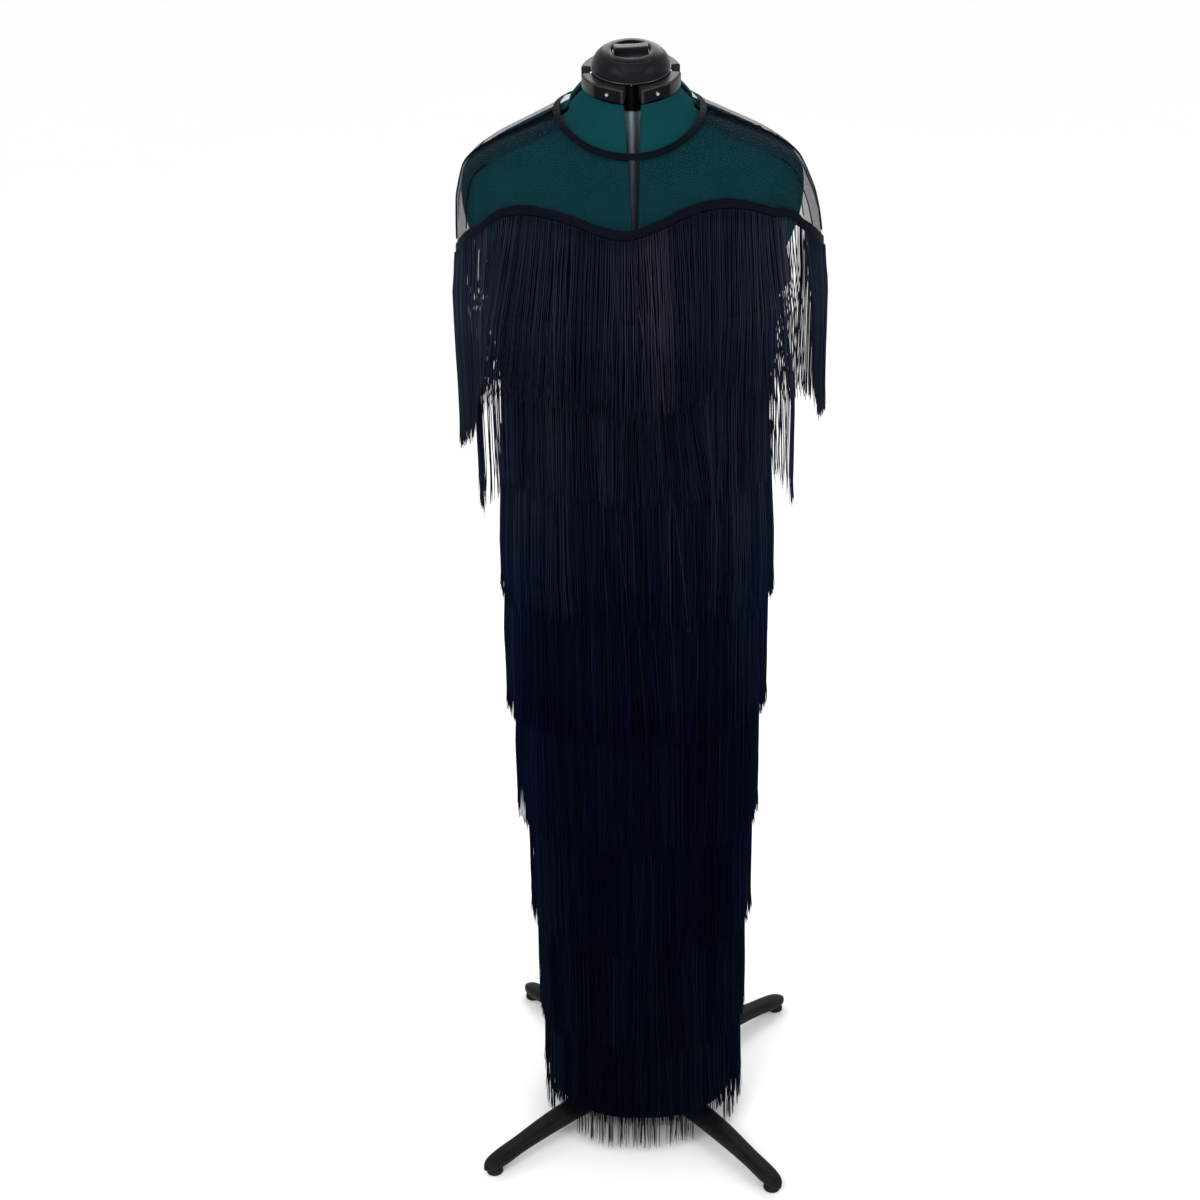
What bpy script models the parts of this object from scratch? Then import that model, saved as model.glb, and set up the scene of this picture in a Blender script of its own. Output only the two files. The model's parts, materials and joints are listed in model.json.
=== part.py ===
# Fringe dress on an adjustable dress form with a four-legged stand.
# Metres, +Z up, the front of the dress faces -Y, and the pole stands on the origin.
import math

import bmesh
import bpy
from mathutils import Matrix, Vector

# Clearances
SEAM_GAP = 0.0003
TUBE_GAP = 0.0005

# Stand
LEG_REACH = 0.288
LEG_TURN = math.radians(6.5)  # the legs stand a little turned from the dress's front
LEG_CLEARANCE = 0.042  # half the width over a leg that the fringe stays out of
FOOT_RADIUS = 0.012
FOOT_HEIGHT = 0.008
FOOT_INSET = 0.006
HUB_RADIUS = 0.048
HUB_BOTTOM = 0.016
HUB_FLOOR = 0.010
HUB_SHOULDER = 0.040
HUB_NECK = 0.048
HUB_TOP = 0.078
POLE_OUTER_RADIUS = 0.0145
POLE_WALL = 0.0015
POLE_INNER_RADIUS = 0.0120
POLE_OUTER_TOP = 0.700
POLE_INNER_BOTTOM = 0.450
COLLAR_HEIGHT = 0.036
COLLAR_RADIUS = 0.0205
POLE_SIDES = 20

# Neck of the form: a ring plane that leans forward
NECK_LEAN = math.radians(17.0)
NECK_HEIGHT = 1.4945  # centre of the clips' underside
CLIP_RADIUS = 0.0590
CLIP_INNER = 0.0400
CLIP_HEIGHT = 0.0165
CLIP_EDGE = 0.0025
CLIP_SLOT = 0.0210
CLIP_STEPS = 7
CAP_RADIUS = 0.0460
CAP_HEIGHT = 0.0290
CAP_SKIRT = 0.0030
CAP_DROP = 0.0055
DIAL_RADIUS = 0.0225
DIAL_DEPTH = 0.0080
DIAL_SINK = 0.0020  # how far the dial lies under the cap's rim
DIAL_TURN = math.radians(4.0)
GRIP_LENGTH = 0.0400
GRIP_WIDTH = 0.0130
GRIP_RISE = 0.0050
GRIP_SINK = 0.0040
GRIP_EDGE = 0.0018
SOCKET_RADIUS = 0.0165
SOCKET_BOTTOM = 1.4640

# Form shell
SHELL_WALL = 0.0035
FRONT_SLOT_TOP = 0.0200
FRONT_SLOT_LOW = 0.0070
SIDE_SLOT_TOP = 0.0160
SIDE_SLOT_LOW = 0.0050
SLOT_LOW_HEIGHT = 1.3450
WAIST_HEIGHT = 1.0850
BRACKET_RADIUS = 0.0200
BRACKET_HALF = 0.0120
ARM_THICK = 0.0060
ARM_WIDTH = 0.0140
ARM_GAP = 0.0040

# Dress
MESH_WALL = 0.0012
CLOTH_WALL = 0.0015
BAND_WALL = 0.0012
BAND_RISE = 0.0030  # how far the band reaches above the yoke's lower edge
BAND_DROP = 0.0080
BAND_STANDOFF = 0.0005
BINDING_RISE = 0.0004
BINDING_HEIGHT = 0.0080
BINDING_STANDOFF = 0.0008
TAPE_WALL = 0.0018
TAPE_HEIGHT = 0.0100
TOP_TAPE_HEIGHT = 0.0060
LOCK_WALL = 0.0025
LOCK_TIP_SHARE = 0.6  # thickness left at a lock's tip
LOCK_UNEVEN = 0.004
LOCKS_PER_HALF = 12
LOCK_GAP_TOP = 0.04  # share of a lock's width left open on each side, near its root
LOCK_GAP_TIP = 0.12
ARMHOLE_START = math.radians(41.0)
ARMPIT_HEIGHT = 1.2620
HEADER_TOP = 1.2430  # tape of row 2
ROW_SPACING = 0.1680
ROW_LENGTH = 0.2230
ROW_COUNT = 7
HEM_HEIGHT = 0.0550
TIP_LOWEST = 0.0120
TIP_OVER_LEG = 0.0500
ROW_BEND = 0.0600  # drop at which a row has left the cloth
ROW_OVER_NEXT = 0.1500  # drop at which it clears the next row's tape
TOP_ROW_LENGTH = 0.2050
TOP_BEND_HEIGHT = 1.2550  # below this the top row hangs straight down
TOP_START_STANDOFF = 0.0009
TOP_STANDOFF = 0.0060
TOP_ROW_EXTRA_LEFT = 0.0300  # the sleeve fringe at -X hangs longer

# How far a row's inner face stands off the tube: drop below its tape, stand-off
ROW_STANDOFF = [(0.0, 0.0007), (ROW_BEND, 0.0030), (ROW_OVER_NEXT, 0.0068), (1.0, 0.0068)]

# A leg's sections: share of the way out, half width, underside, top
LEG_SECTIONS = [
    (0.00, 0.0190, 0.0180, 0.0380),
    (0.25, 0.0180, 0.0210, 0.0415),
    (0.50, 0.0160, 0.0200, 0.0400),
    (0.75, 0.0130, 0.0140, 0.0320),
    (0.92, 0.0125, 0.0085, 0.0250),
    (1.00, 0.0090, 0.0085, 0.0200),
]
LEG_EDGE_SHARE = 0.3
LEG_FLAT_SHARE = 0.6

RING_COLUMNS = ("z_front", "z_side", "z_back", "half_width", "front", "back", "square", "shift")


def ring(*values):
    return dict(zip(RING_COLUMNS, values))


# The form's sections, from the neck down
FORM_RINGS = [
    ring(1.4770, 1.4942, 1.5114, 0.0560, 0.0562, 0.0562, 2.0, 0),
    ring(1.4520, 1.4780, 1.4960, 0.0715, 0.0670, 0.0620, 2.0, 0),
    ring(1.4250, 1.4640, 1.4780, 0.0795, 0.0810, 0.0705, 2.1, 0),
    ring(1.4050, 1.4470, 1.4550, 0.1215, 0.0905, 0.0820, 2.3, 0),
    ring(1.3900, 1.4275, 1.4300, 0.1665, 0.0975, 0.0905, 2.5, 0),
    ring(1.3780, 1.4065, 1.4080, 0.1965, 0.1020, 0.0965, 2.5, 0),
    ring(1.3600, 1.3840, 1.3850, 0.2045, 0.1065, 0.1000, 2.5, 0),
    ring(1.3350, 1.3480, 1.3480, 0.2020, 0.1105, 0.1020, 2.5, 0),
    ring(1.3050, 1.3060, 1.3080, 0.1875, 0.1190, 0.1030, 2.4, 0),
    ring(1.2800, 1.2750, 1.2780, 0.1660, 0.1270, 0.1035, 2.3, 0),
    ring(1.2450, 1.2400, 1.2450, 0.1580, 0.1330, 0.1020, 2.3, 0),
    ring(1.1800, 1.1800, 1.1800, 0.1460, 0.1170, 0.0960, 2.2, 0),
    ring(1.0850, 1.0850, 1.0850, 0.1280, 0.0880, 0.0850, 2.2, 0),
    ring(0.9900, 0.9900, 0.9900, 0.1500, 0.1000, 0.1040, 2.2, 0),
    ring(0.8900, 0.8900, 0.8900, 0.1600, 0.1120, 0.1200, 2.3, 0),
    ring(0.7700, 0.7700, 0.7700, 0.1520, 0.1080, 0.1120, 2.3, 0),
]

# The yoke's surface over the form's shoulders and out over the arms
YOKE_RINGS = [
    ring(1.4270, 1.4670, 1.4810, 0.0825, 0.0830, 0.0725, 2.1, -0.002),
    ring(1.4075, 1.4500, 1.4580, 0.1235, 0.0928, 0.0843, 2.3, 0),
    ring(1.3925, 1.4305, 1.4330, 0.1690, 0.0999, 0.0929, 2.5, 0),
    ring(1.3800, 1.4090, 1.4105, 0.1995, 0.1046, 0.0991, 2.5, 0),
    ring(1.3650, 1.3790, 1.3860, 0.2115, 0.1090, 0.1030, 2.5, 0.0025),
    ring(1.3450, 1.3430, 1.3610, 0.2180, 0.1140, 0.1065, 2.5, 0.006),
    ring(1.3150, 1.2980, 1.3250, 0.2220, 0.1210, 0.1105, 2.5, 0.0085),
]
YOKE_FIXED_ROWS = 4  # these follow the form's shoulders, the rest spread down to the lower edge
YOKE_FREE_ROWS = 3
BACK_SEAM = (1.3350, 1.3060)  # height of the lower edge at the centre back and over the arm

# Height of the yoke's lower edge across the front: x, z
FRONT_SEAM = [
    (-0.214, 1.306),
    (-0.206, 1.323),
    (-0.196, 1.335),
    (-0.181, 1.345),
    (-0.168, 1.357),
    (-0.153, 1.366),
    (-0.130, 1.371),
    (-0.101, 1.368),
    (-0.071, 1.360),
    (-0.036, 1.347),
    (-0.014, 1.343),
    (0.010, 1.347),
    (0.034, 1.356),
    (0.060, 1.367),
    (0.083, 1.373),
    (0.113, 1.374),
    (0.137, 1.369),
    (0.160, 1.361),
    (0.188, 1.353),
    (0.203, 1.337),
    (0.218, 1.321),
    (0.231, 1.306),
]

# The tube's sections, which its facets join straight: z, half width, front, back
TUBE_COLUMNS = ("z", "half_width", "front", "back")
TUBE = [
    dict(zip(TUBE_COLUMNS, row))
    for row in [
        (1.2450, 0.1780, 0.1425, 0.1120),
        (1.1600, 0.1690, 0.1380, 0.1080),
        (1.0770, 0.1680, 0.1310, 0.1080),
        (0.9900, 0.1690, 0.1305, 0.1220),
        (0.9090, 0.1700, 0.1310, 0.1310),
        (0.7410, 0.1620, 0.1320, 0.1300),
        (0.5730, 0.1550, 0.1325, 0.1270),
        (0.4050, 0.1475, 0.1330, 0.1240),
        (0.2370, 0.1415, 0.1340, 0.1210),
        (HEM_HEIGHT, 0.1380, 0.1350, 0.1200),
    ]
]
TUBE_SQUARE = 2.3


def clear_scene():
    for obj in list(bpy.data.objects):
        bpy.data.objects.remove(obj, do_unlink=True)


def finish(name, colour, roughness, metallic=0.0):
    found = bpy.data.materials.get(name)
    if found:
        return found
    made = bpy.data.materials.new(name)
    made.use_nodes = True
    shader = made.node_tree.nodes["Principled BSDF"]
    shader.inputs["Base Color"].default_value = (*colour, 1.0)
    shader.inputs["Roughness"].default_value = roughness
    shader.inputs["Metallic"].default_value = metallic
    return made


def black_mesh():
    return finish("black_mesh", (0.010, 0.012, 0.014), 0.8)


def black_cloth():
    return finish("black_cloth", (0.008, 0.009, 0.012), 0.9)


def black_trim():
    return finish("black_trim", (0.012, 0.012, 0.015), 0.6)


def black_fringe():
    return finish("black_fringe", (0.012, 0.013, 0.018), 0.45)


def green_cover():
    return finish("green_cover", (0.010, 0.115, 0.100), 0.85)


def black_plastic():
    return finish("black_plastic", (0.015, 0.015, 0.017), 0.25)


def grey_steel():
    return finish("grey_steel", (0.35, 0.40, 0.45), 0.3, 1.0)


def add_object(name, bm, surface):
    """One node from a bmesh, with its faces turned outwards."""
    bmesh.ops.recalc_face_normals(bm, faces=bm.faces[:])
    if bm.calc_volume(signed=True) < 0:
        bmesh.ops.reverse_faces(bm, faces=bm.faces[:])
    mesh = bpy.data.meshes.new(name)
    bm.to_mesh(mesh)
    bm.free()
    mesh.materials.append(surface)
    obj = bpy.data.objects.new(name, mesh)
    bpy.context.scene.collection.objects.link(obj)
    return obj


def smooth(obj, angle=35.0):
    obj.data.shade_smooth()
    obj.data.set_sharp_from_angle(angle=math.radians(angle))


def mix(a, b, share):
    return a + (b - a) * share


def mix_rings(a, b, share):
    return {name: mix(a[name], b[name], share) for name in RING_COLUMNS}


def signed_power(value, power):
    return math.copysign(abs(value) ** power, value)


def ring_plan(section, angle):
    """Plan position on a section. Angle 0 is the centre front and 90 degrees is +X."""
    power = 2.0 / section["square"]
    depth = section["front"] if math.cos(angle) > 0 else section["back"]
    x = section["shift"] + section["half_width"] * signed_power(math.sin(angle), power)
    return x, -depth * signed_power(math.cos(angle), power)


def ring_height(section, angle):
    along = math.cos(angle)
    tilt = (section["z_front"] - section["z_back"]) / 2
    dip = (section["z_front"] + section["z_back"]) / 2 - section["z_side"]
    return section["z_side"] + tilt * along + dip * along * along


def between(table, at):
    """Linear reading of a table of pairs in rising order."""
    if at <= table[0][0]:
        return table[0][1]
    for (low, low_value), (high, high_value) in zip(table, table[1:]):
        if at <= high:
            return mix(low_value, high_value, (at - low) / (high - low))
    return table[-1][1]


def yoke_ring(at):
    """The yoke's section at a position along its list of rings."""
    low = min(int(at), len(YOKE_RINGS) - 2)
    return mix_rings(YOKE_RINGS[low], YOKE_RINGS[low + 1], at - low)


def yoke_point(at, angle):
    section = yoke_ring(at)
    return Vector((*ring_plan(section, angle), ring_height(section, angle)))


def seam_height(angle, x):
    """Height of the yoke's lower edge: the sweetheart line in front, a soft dip behind."""
    if math.cos(angle) > 0:
        return between(FRONT_SEAM, x)
    return mix(*BACK_SEAM, abs(math.sin(angle)) ** 4)


def hem_position(angle):
    """Where the seam line crosses the yoke's surface, as a position along its rings."""
    low, high = YOKE_FIXED_ROWS - 1, len(YOKE_RINGS) - 1
    for _ in range(30):
        middle = (low + high) / 2
        point = yoke_point(middle, angle)
        if point.z > seam_height(angle, point.x):
            low = middle
        else:
            high = middle
    return (low + high) / 2


def hem_ring(angle):
    return yoke_ring(hem_position(angle))


def hem_point(angle):
    return yoke_point(hem_position(angle), angle)


def hem_height(angle):
    return hem_point(angle).z


def tube_ring(z):
    """The tube's section at a height, read along its straight facets."""
    rows = TUBE[::-1]
    found = {
        name: between([(row["z"], row[name]) for row in rows], z)
        for name in ("half_width", "front", "back")
    }
    return ring(z, z, z, found["half_width"], found["front"], found["back"], TUBE_SQUARE, 0)


def tube_top(angle):
    """Height of the tube's top edge: the yoke seam, then the armhole, then the armpit."""
    lean = abs(math.remainder(angle, math.pi)) if math.cos(angle) < 0 else abs(angle)
    seam = hem_height(angle) - SEAM_GAP
    share = (lean - ARMHOLE_START) / (math.pi / 2 - ARMHOLE_START)
    share = min(max(share, 0.0), 1.0)
    ease = math.sin(share * math.pi / 2) ** 1.2
    return mix(seam, ARMPIT_HEIGHT, ease)


def tube_point(angle, z):
    """The tube's outer face. Above its first section it leans towards the yoke's hem."""
    first = TUBE[0]["z"]
    if z <= first:
        return Vector((*ring_plan(tube_ring(z), angle), z))
    share = (z - first) / (hem_height(angle) - first)
    x, y = ring_plan(mix_rings(tube_ring(first), hem_ring(angle), share), angle)
    return Vector((x, y, z))


def cover_ring(angle, z, standoff):
    """Section of what hangs below the yoke's hem: over the tube in front, level at the arms."""
    first = tube_ring(TUBE[0]["z"])
    share = (z - first["z_front"]) / (hem_height(angle) - first["z_front"])
    cover = hem_ring(angle)
    under = mix_rings(first, cover, min(max(share, 0.0), 1.0))
    for side in ("half_width", "front", "back"):
        cover[side] = max(under[side], cover[side]) + standoff
    return cover


def cover_point(angle, z):
    return Vector((*ring_plan(cover_ring(angle, z, 0.0), angle), z))


def outward(angle, section):
    """Level outward direction of a section's curve at an angle."""
    step = math.radians(0.5)
    ahead = Vector(ring_plan(section, angle + step))
    behind = Vector(ring_plan(section, angle - step))
    run = ahead - behind
    return Vector((-run.y, run.x, 0)).normalized() * -1


def column_angles():
    """Columns of the front half from -90 to 90 degrees, evenly spaced along a middle section."""
    section = tube_ring(0.9)
    fine = 2000
    angles = [math.radians(-90 + 180 * i / fine) for i in range(fine + 1)]
    run = [0.0]
    for a, b in zip(angles, angles[1:]):
        step = Vector(ring_plan(section, b)) - Vector(ring_plan(section, a))
        run.append(run[-1] + step.length)
    table = [(length / run[-1], angle) for length, angle in zip(run, angles)]
    return [between(table, i / LOCKS_PER_HALF) for i in range(LOCKS_PER_HALF + 1)]


FRONT_ANGLES = column_angles()
BACK_ANGLES = [math.pi - angle for angle in reversed(FRONT_ANGLES)]


def closed_angles():
    """The columns of the whole way round, front then back, with the side seams once."""
    return FRONT_ANGLES + BACK_ANGLES[1:-1]


def round_normals(rows):
    """Outward directions at each point of rows that run all the way round."""
    count = len(rows[0])
    normals = []
    for i, row in enumerate(rows):
        above, below = rows[max(i - 1, 0)], rows[min(i + 1, len(rows) - 1)]
        line = []
        for j in range(count):
            across = row[(j + 1) % count] - row[j - 1]
            line.append(across.cross(above[j] - below[j]).normalized())
        normals.append(line)
    return normals


def wall(name, outer, inner, surface):
    """A closed wall between two matching grids of points."""
    bm = bmesh.new()
    out = [[bm.verts.new(point) for point in row] for row in outer]
    back = [[bm.verts.new(point) for point in row] for row in inner]
    for i in range(len(out) - 1):
        for j in range(len(out[0]) - 1):
            bm.faces.new((out[i][j], out[i + 1][j], out[i + 1][j + 1], out[i][j + 1]))
            bm.faces.new((back[i][j], back[i][j + 1], back[i + 1][j + 1], back[i + 1][j]))
    top = out[0], back[0]
    low = out[-1][::-1], back[-1][::-1]
    left = [row[0] for row in out][::-1], [row[0] for row in back][::-1]
    right = [row[-1] for row in out], [row[-1] for row in back]
    for edge, mate in (top, low, left, right):
        for k in range(len(edge) - 1):
            bm.faces.new((edge[k], edge[k + 1], mate[k + 1], mate[k]))
    obj = add_object(name, bm, surface)
    smooth(obj)
    return obj


def halves(front_name, back_name, rows, thickness, surface):
    """Two walls from rows that run all the way round, parted at the side seams."""
    normals = round_normals(rows)
    inner = [
        [point - normal * thickness for point, normal in zip(row, line)]
        for row, line in zip(rows, normals)
    ]
    middle = len(FRONT_ANGLES) - 1
    for name, sign in ((front_name, -1), (back_name, 1)):
        grids = []
        for grid in (rows, inner):
            grid = [row + [row[0]] for row in grid]
            grid = [row[: middle + 1] if sign < 0 else row[middle:] for row in grid]
            shift = Vector((0, sign * SEAM_GAP / 2, 0))
            grids.append([[row[0] + shift, *row[1:-1], row[-1] + shift] for row in grid])
        wall(name, grids[0], grids[1], surface)


def make_yoke():
    angles = closed_angles()
    last = YOKE_FIXED_ROWS - 1
    rows = [[yoke_point(i, angle) for angle in angles] for i in range(YOKE_FIXED_ROWS)]
    for i in range(1, YOKE_FREE_ROWS + 1):
        share = i / YOKE_FREE_ROWS
        rows.append([yoke_point(mix(last, hem_position(a), share), a) for a in angles])
    halves("yoke_and_sleeve_front", "yoke_and_sleeve_back", rows, MESH_WALL, black_mesh())


def make_body():
    angles = closed_angles()
    first = TUBE[0]["z"]
    rows = []
    for share in (1.0, 0.66, 0.33):
        rows.append([tube_point(a, mix(first, tube_top(a) - SEAM_GAP, share)) for a in angles])
    for section in TUBE:
        rows.append([tube_point(a, section["z"]) for a in angles])
    halves("body_front", "body_back", rows, CLOTH_WALL, black_cloth())


def loft(name, sections, surface, closed):
    """A solid through matching sections, closed round or capped at its ends."""
    bm = bmesh.new()
    made = [[bm.verts.new(point) for point in section] for section in sections]
    count = len(made[0])
    pairs = list(zip(made, made[1:]))
    if closed:
        pairs.append((made[-1], made[0]))
    for a, b in pairs:
        for k in range(count):
            m = (k + 1) % count
            bm.faces.new((a[k], a[m], b[m], b[k]))
    if not closed:
        bm.faces.new(made[0])
        bm.faces.new(made[-1][::-1])
    return add_object(name, bm, surface)


def make_band(name, angles, sign):
    """The band over the yoke seam. It leans with the yoke above and hangs over the tube below."""
    sections = []
    for i, angle in enumerate(angles):
        at = hem_position(angle)
        hem = yoke_point(at, angle)
        slope = yoke_point(at - 0.2, angle) - hem
        away = outward(angle, yoke_ring(at))
        shift = Vector((0, sign * SEAM_GAP, 0)) if i in (0, len(angles) - 1) else Vector()
        top = hem + slope * (BAND_RISE / slope.z) + shift
        low = cover_point(angle, hem.z - BAND_DROP) + shift
        near, far = away * BAND_STANDOFF, away * (BAND_STANDOFF + BAND_WALL)
        sections.append((top + near, top + far, low + far, low + near))
    obj = loft(name, sections, black_trim(), closed=False)
    smooth(obj)
    return obj


def make_neck_binding():
    """A ring of binding on the yoke's top edge, made from its points moved out."""
    sections = []
    for angle in closed_angles():
        top = yoke_point(0, angle)
        fall = (yoke_point(1, angle) - top).normalized()
        across = outward(angle, YOKE_RINGS[0])
        normal = (across - fall * across.dot(fall)).normalized()
        start = top - fall * BINDING_RISE
        end = top + fall * BINDING_HEIGHT
        near, far = normal * BINDING_STANDOFF, normal * (BINDING_STANDOFF + BAND_WALL)
        sections.append((start + near, start + far, end + far, end + near))
    obj = loft("neck_binding", sections, black_trim(), closed=True)
    smooth(obj)
    return obj


def tape_with_locks(name, angles, closed, edge_points, locks):
    """A tape round the cloth with locks drawn out of its lower faces.

    edge_points(angle) gives the tape's four corners. locks lists, for a column of the tape,
    the corners of its lock at each step down: outer and inner a, inner and outer b."""
    bm = bmesh.new()
    made = [[bm.verts.new(p) for p in edge_points(angle)] for angle in angles]
    pairs = list(zip(range(len(made)), range(1, len(made))))
    if closed:
        pairs.append((len(made) - 1, 0))
    undersides = {}
    for i, j in pairs:
        a, b = made[i], made[j]
        bm.faces.new((a[0], a[1], b[1], b[0]))
        bm.faces.new((a[1], a[2], b[2], b[1]))
        undersides[i] = bm.faces.new((a[2], a[3], b[3], b[2]))
        bm.faces.new((a[3], a[0], b[0], b[3]))
    if not closed:
        bm.faces.new(made[0])
        bm.faces.new(made[-1][::-1])
    for column, steps in locks.items():
        face = undersides[column]
        for corners in steps:
            drawn = bmesh.ops.extrude_discrete_faces(bm, faces=[face])
            face = drawn["faces"][0]
            for vert, corner in zip(face.verts, corners):
                vert.co = corner
    obj = add_object(name, bm, black_fringe())
    smooth(obj)
    return obj


def hang_ring(header, z):
    """Section of a row's inner face. The cloth pushes it out, and it never swings back in."""
    heights = [header, z] + [row["z"] for row in TUBE if z < row["z"] < header]
    heights += [header - ROW_BEND, header - ROW_OVER_NEXT]
    best = {"half_width": 0.0, "front": 0.0, "back": 0.0}
    for height in heights:
        if height < z:
            continue
        section = tube_ring(max(height, HEM_HEIGHT))
        away = between(ROW_STANDOFF, header - height)
        for side in best:
            best[side] = max(best[side], section[side] + away)
    return ring(z, z, z, best["half_width"], best["front"], best["back"], TUBE_SQUARE, 0)


def leg_directions():
    return [
        Vector((math.cos(turn), math.sin(turn), 0))
        for turn in (math.radians(45 + 90 * i) - LEG_TURN for i in range(4))
    ]


def tip_height(point, plain):
    """A lock that would reach a leg ends above it."""
    level = Vector((point.x, point.y, 0))
    for direction in leg_directions():
        along = level.dot(direction)
        across = (level - direction * along).length
        if along > 0 and across < LEG_CLEARANCE:
            return max(plain, TIP_OVER_LEG)
    return plain


def row_corner(header, angle, z, thickness):
    section = hang_ring(header, z)
    inner = Vector((*ring_plan(section, angle), z))
    return inner, inner + outward(angle, section) * thickness


def lock_taper(a, b, at_tip):
    """The edges and thickness of a lock between two columns."""
    gap = (b - a) * (LOCK_GAP_TIP if at_tip else LOCK_GAP_TOP)
    return a + gap, b - gap, LOCK_WALL * (LOCK_TIP_SHARE if at_tip else 1.0)


def uneven(index):
    """The locks of a row end a little above or below each other."""
    return LOCK_UNEVEN * math.sin(2.4 * index)


def lock_steps(header, a, b, length, index):
    """Corners of one lock, step by step down from the tape."""
    plain = max(header - length + uneven(index), TIP_LOWEST)
    low_a = row_corner(header, a, plain, 0)[0]
    low_b = row_corner(header, b, plain, 0)[0]
    tip = tip_height((low_a + low_b) / 2, plain)
    steps = []
    for drop in (ROW_BEND, ROW_OVER_NEXT, None):
        z = tip if drop is None else header - drop
        if z < tip:
            continue
        left, right, wall = lock_taper(a, b, drop is None)
        inner_a, outer_a = row_corner(header, left, z, wall)
        inner_b, outer_b = row_corner(header, right, z, wall)
        steps.append((outer_a, inner_a, inner_b, outer_b))
    return steps


def make_row(number, header):
    angles = closed_angles()

    def tape_corners(angle):
        away = outward(angle, tube_ring(header))
        top = tube_point(angle, header)
        low = tube_point(angle, header - TAPE_HEIGHT)
        near, far = away * SEAM_GAP, away * (SEAM_GAP + TAPE_WALL)
        return top + near, top + far, low + far, low + near

    locks = {}
    for column, (a, b) in enumerate(zip(angles, angles[1:] + [angles[0] + 2 * math.pi])):
        locks[column] = lock_steps(header, a, b, ROW_LENGTH, column + number)
    return tape_with_locks(f"fringe_row_{number}", angles, True, tape_corners, locks)


def top_corner(angle, z, thickness):
    """A point of the top row, which eases away from the cloth on its way down."""
    start = hem_height(angle) - BAND_DROP - SEAM_GAP
    share = min(max((start - z) / (start - TOP_BEND_HEIGHT), 0.0), 1.0)
    section = cover_ring(angle, max(z, TOP_BEND_HEIGHT), mix(TOP_START_STANDOFF, TOP_STANDOFF, share))
    inner = Vector((*ring_plan(section, angle), z))
    return inner, inner + outward(angle, section) * thickness


def make_top_row(name, angles, sign):
    def tape_corners(angle):
        at_side = abs(math.cos(angle)) < 1e-6
        shift = Vector((0, sign * SEAM_GAP, 0)) if at_side else Vector()
        z_top = hem_height(angle) - BAND_DROP - SEAM_GAP
        z_low = z_top - TOP_TAPE_HEIGHT
        inner_top, outer_top = top_corner(angle, z_top, TAPE_WALL)
        inner_low, outer_low = top_corner(angle, z_low, TAPE_WALL)
        return [point + shift for point in (inner_top, outer_top, outer_low, inner_low)]

    locks = {}
    for column, (a, b) in enumerate(zip(angles, angles[1:])):
        middle = (a + b) / 2
        over_left_arm = math.sin(middle) < -0.85
        length = TOP_ROW_LENGTH + (TOP_ROW_EXTRA_LEFT if over_left_arm else 0.0)
        tip = hem_height(middle) - BAND_DROP - TOP_TAPE_HEIGHT - length + uneven(column)
        steps = []
        for z in (TOP_BEND_HEIGHT, tip):
            left, right, wall = lock_taper(a, b, z == tip)
            inner_a, outer_a = top_corner(left, z, wall)
            inner_b, outer_b = top_corner(right, z, wall)
            steps.append((outer_a, inner_a, inner_b, outer_b))
        locks[column] = steps
    return tape_with_locks(name, angles, False, tape_corners, locks)


def slot_half(z, wide, narrow):
    """Half the slot between two panels, widest at the neck."""
    top = FORM_RINGS[0]["z_front"]
    share = min(max((z - SLOT_LOW_HEIGHT) / (top - SLOT_LOW_HEIGHT), 0.0), 1.0)
    return mix(narrow, wide, share) / 2


def make_panels():
    """The form's shell in quarters, with a slot between each two."""
    angles = closed_angles()
    rows = [
        [Vector((*ring_plan(section, a), ring_height(section, a))) for a in angles]
        for section in FORM_RINGS
    ]
    normals = round_normals(rows)
    quarter = len(angles) // 4
    middle = 2 * quarter  # the first column is the side seam at -X
    for name, columns in (
        ("form_front_right", range(quarter, middle + 1)),
        ("form_front_left", range(quarter, -1, -1)),
        ("form_back_right", range(3 * quarter, middle - 1, -1)),
        ("form_back_left", range(3 * quarter, 4 * quarter + 1)),
    ):
        outer = []
        inner = []
        for row, line in zip(rows, normals):
            points = [row[c % len(row)] for c in columns]
            backs = [row[c % len(row)] - line[c % len(row)] * SHELL_WALL for c in columns]
            front_half = slot_half(points[0].z, FRONT_SLOT_TOP, FRONT_SLOT_LOW)
            side_half = slot_half(points[-1].z, SIDE_SLOT_TOP, SIDE_SLOT_LOW)
            front_share = min(front_half / abs(points[1].x), 0.9)
            side_share = min(side_half / abs(points[-2].y), 0.9)
            for line_of_points, grid in ((points, outer), (backs, inner)):
                line_of_points[0] = line_of_points[0].lerp(line_of_points[1], front_share)
                line_of_points[-1] = line_of_points[-1].lerp(line_of_points[-2], side_share)
                grid.append(line_of_points)
        wall(name, outer, inner, green_cover())


def neck_matrix():
    return Matrix.Translation((0, 0, NECK_HEIGHT)) @ Matrix.Rotation(NECK_LEAN, 4, "X")


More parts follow.
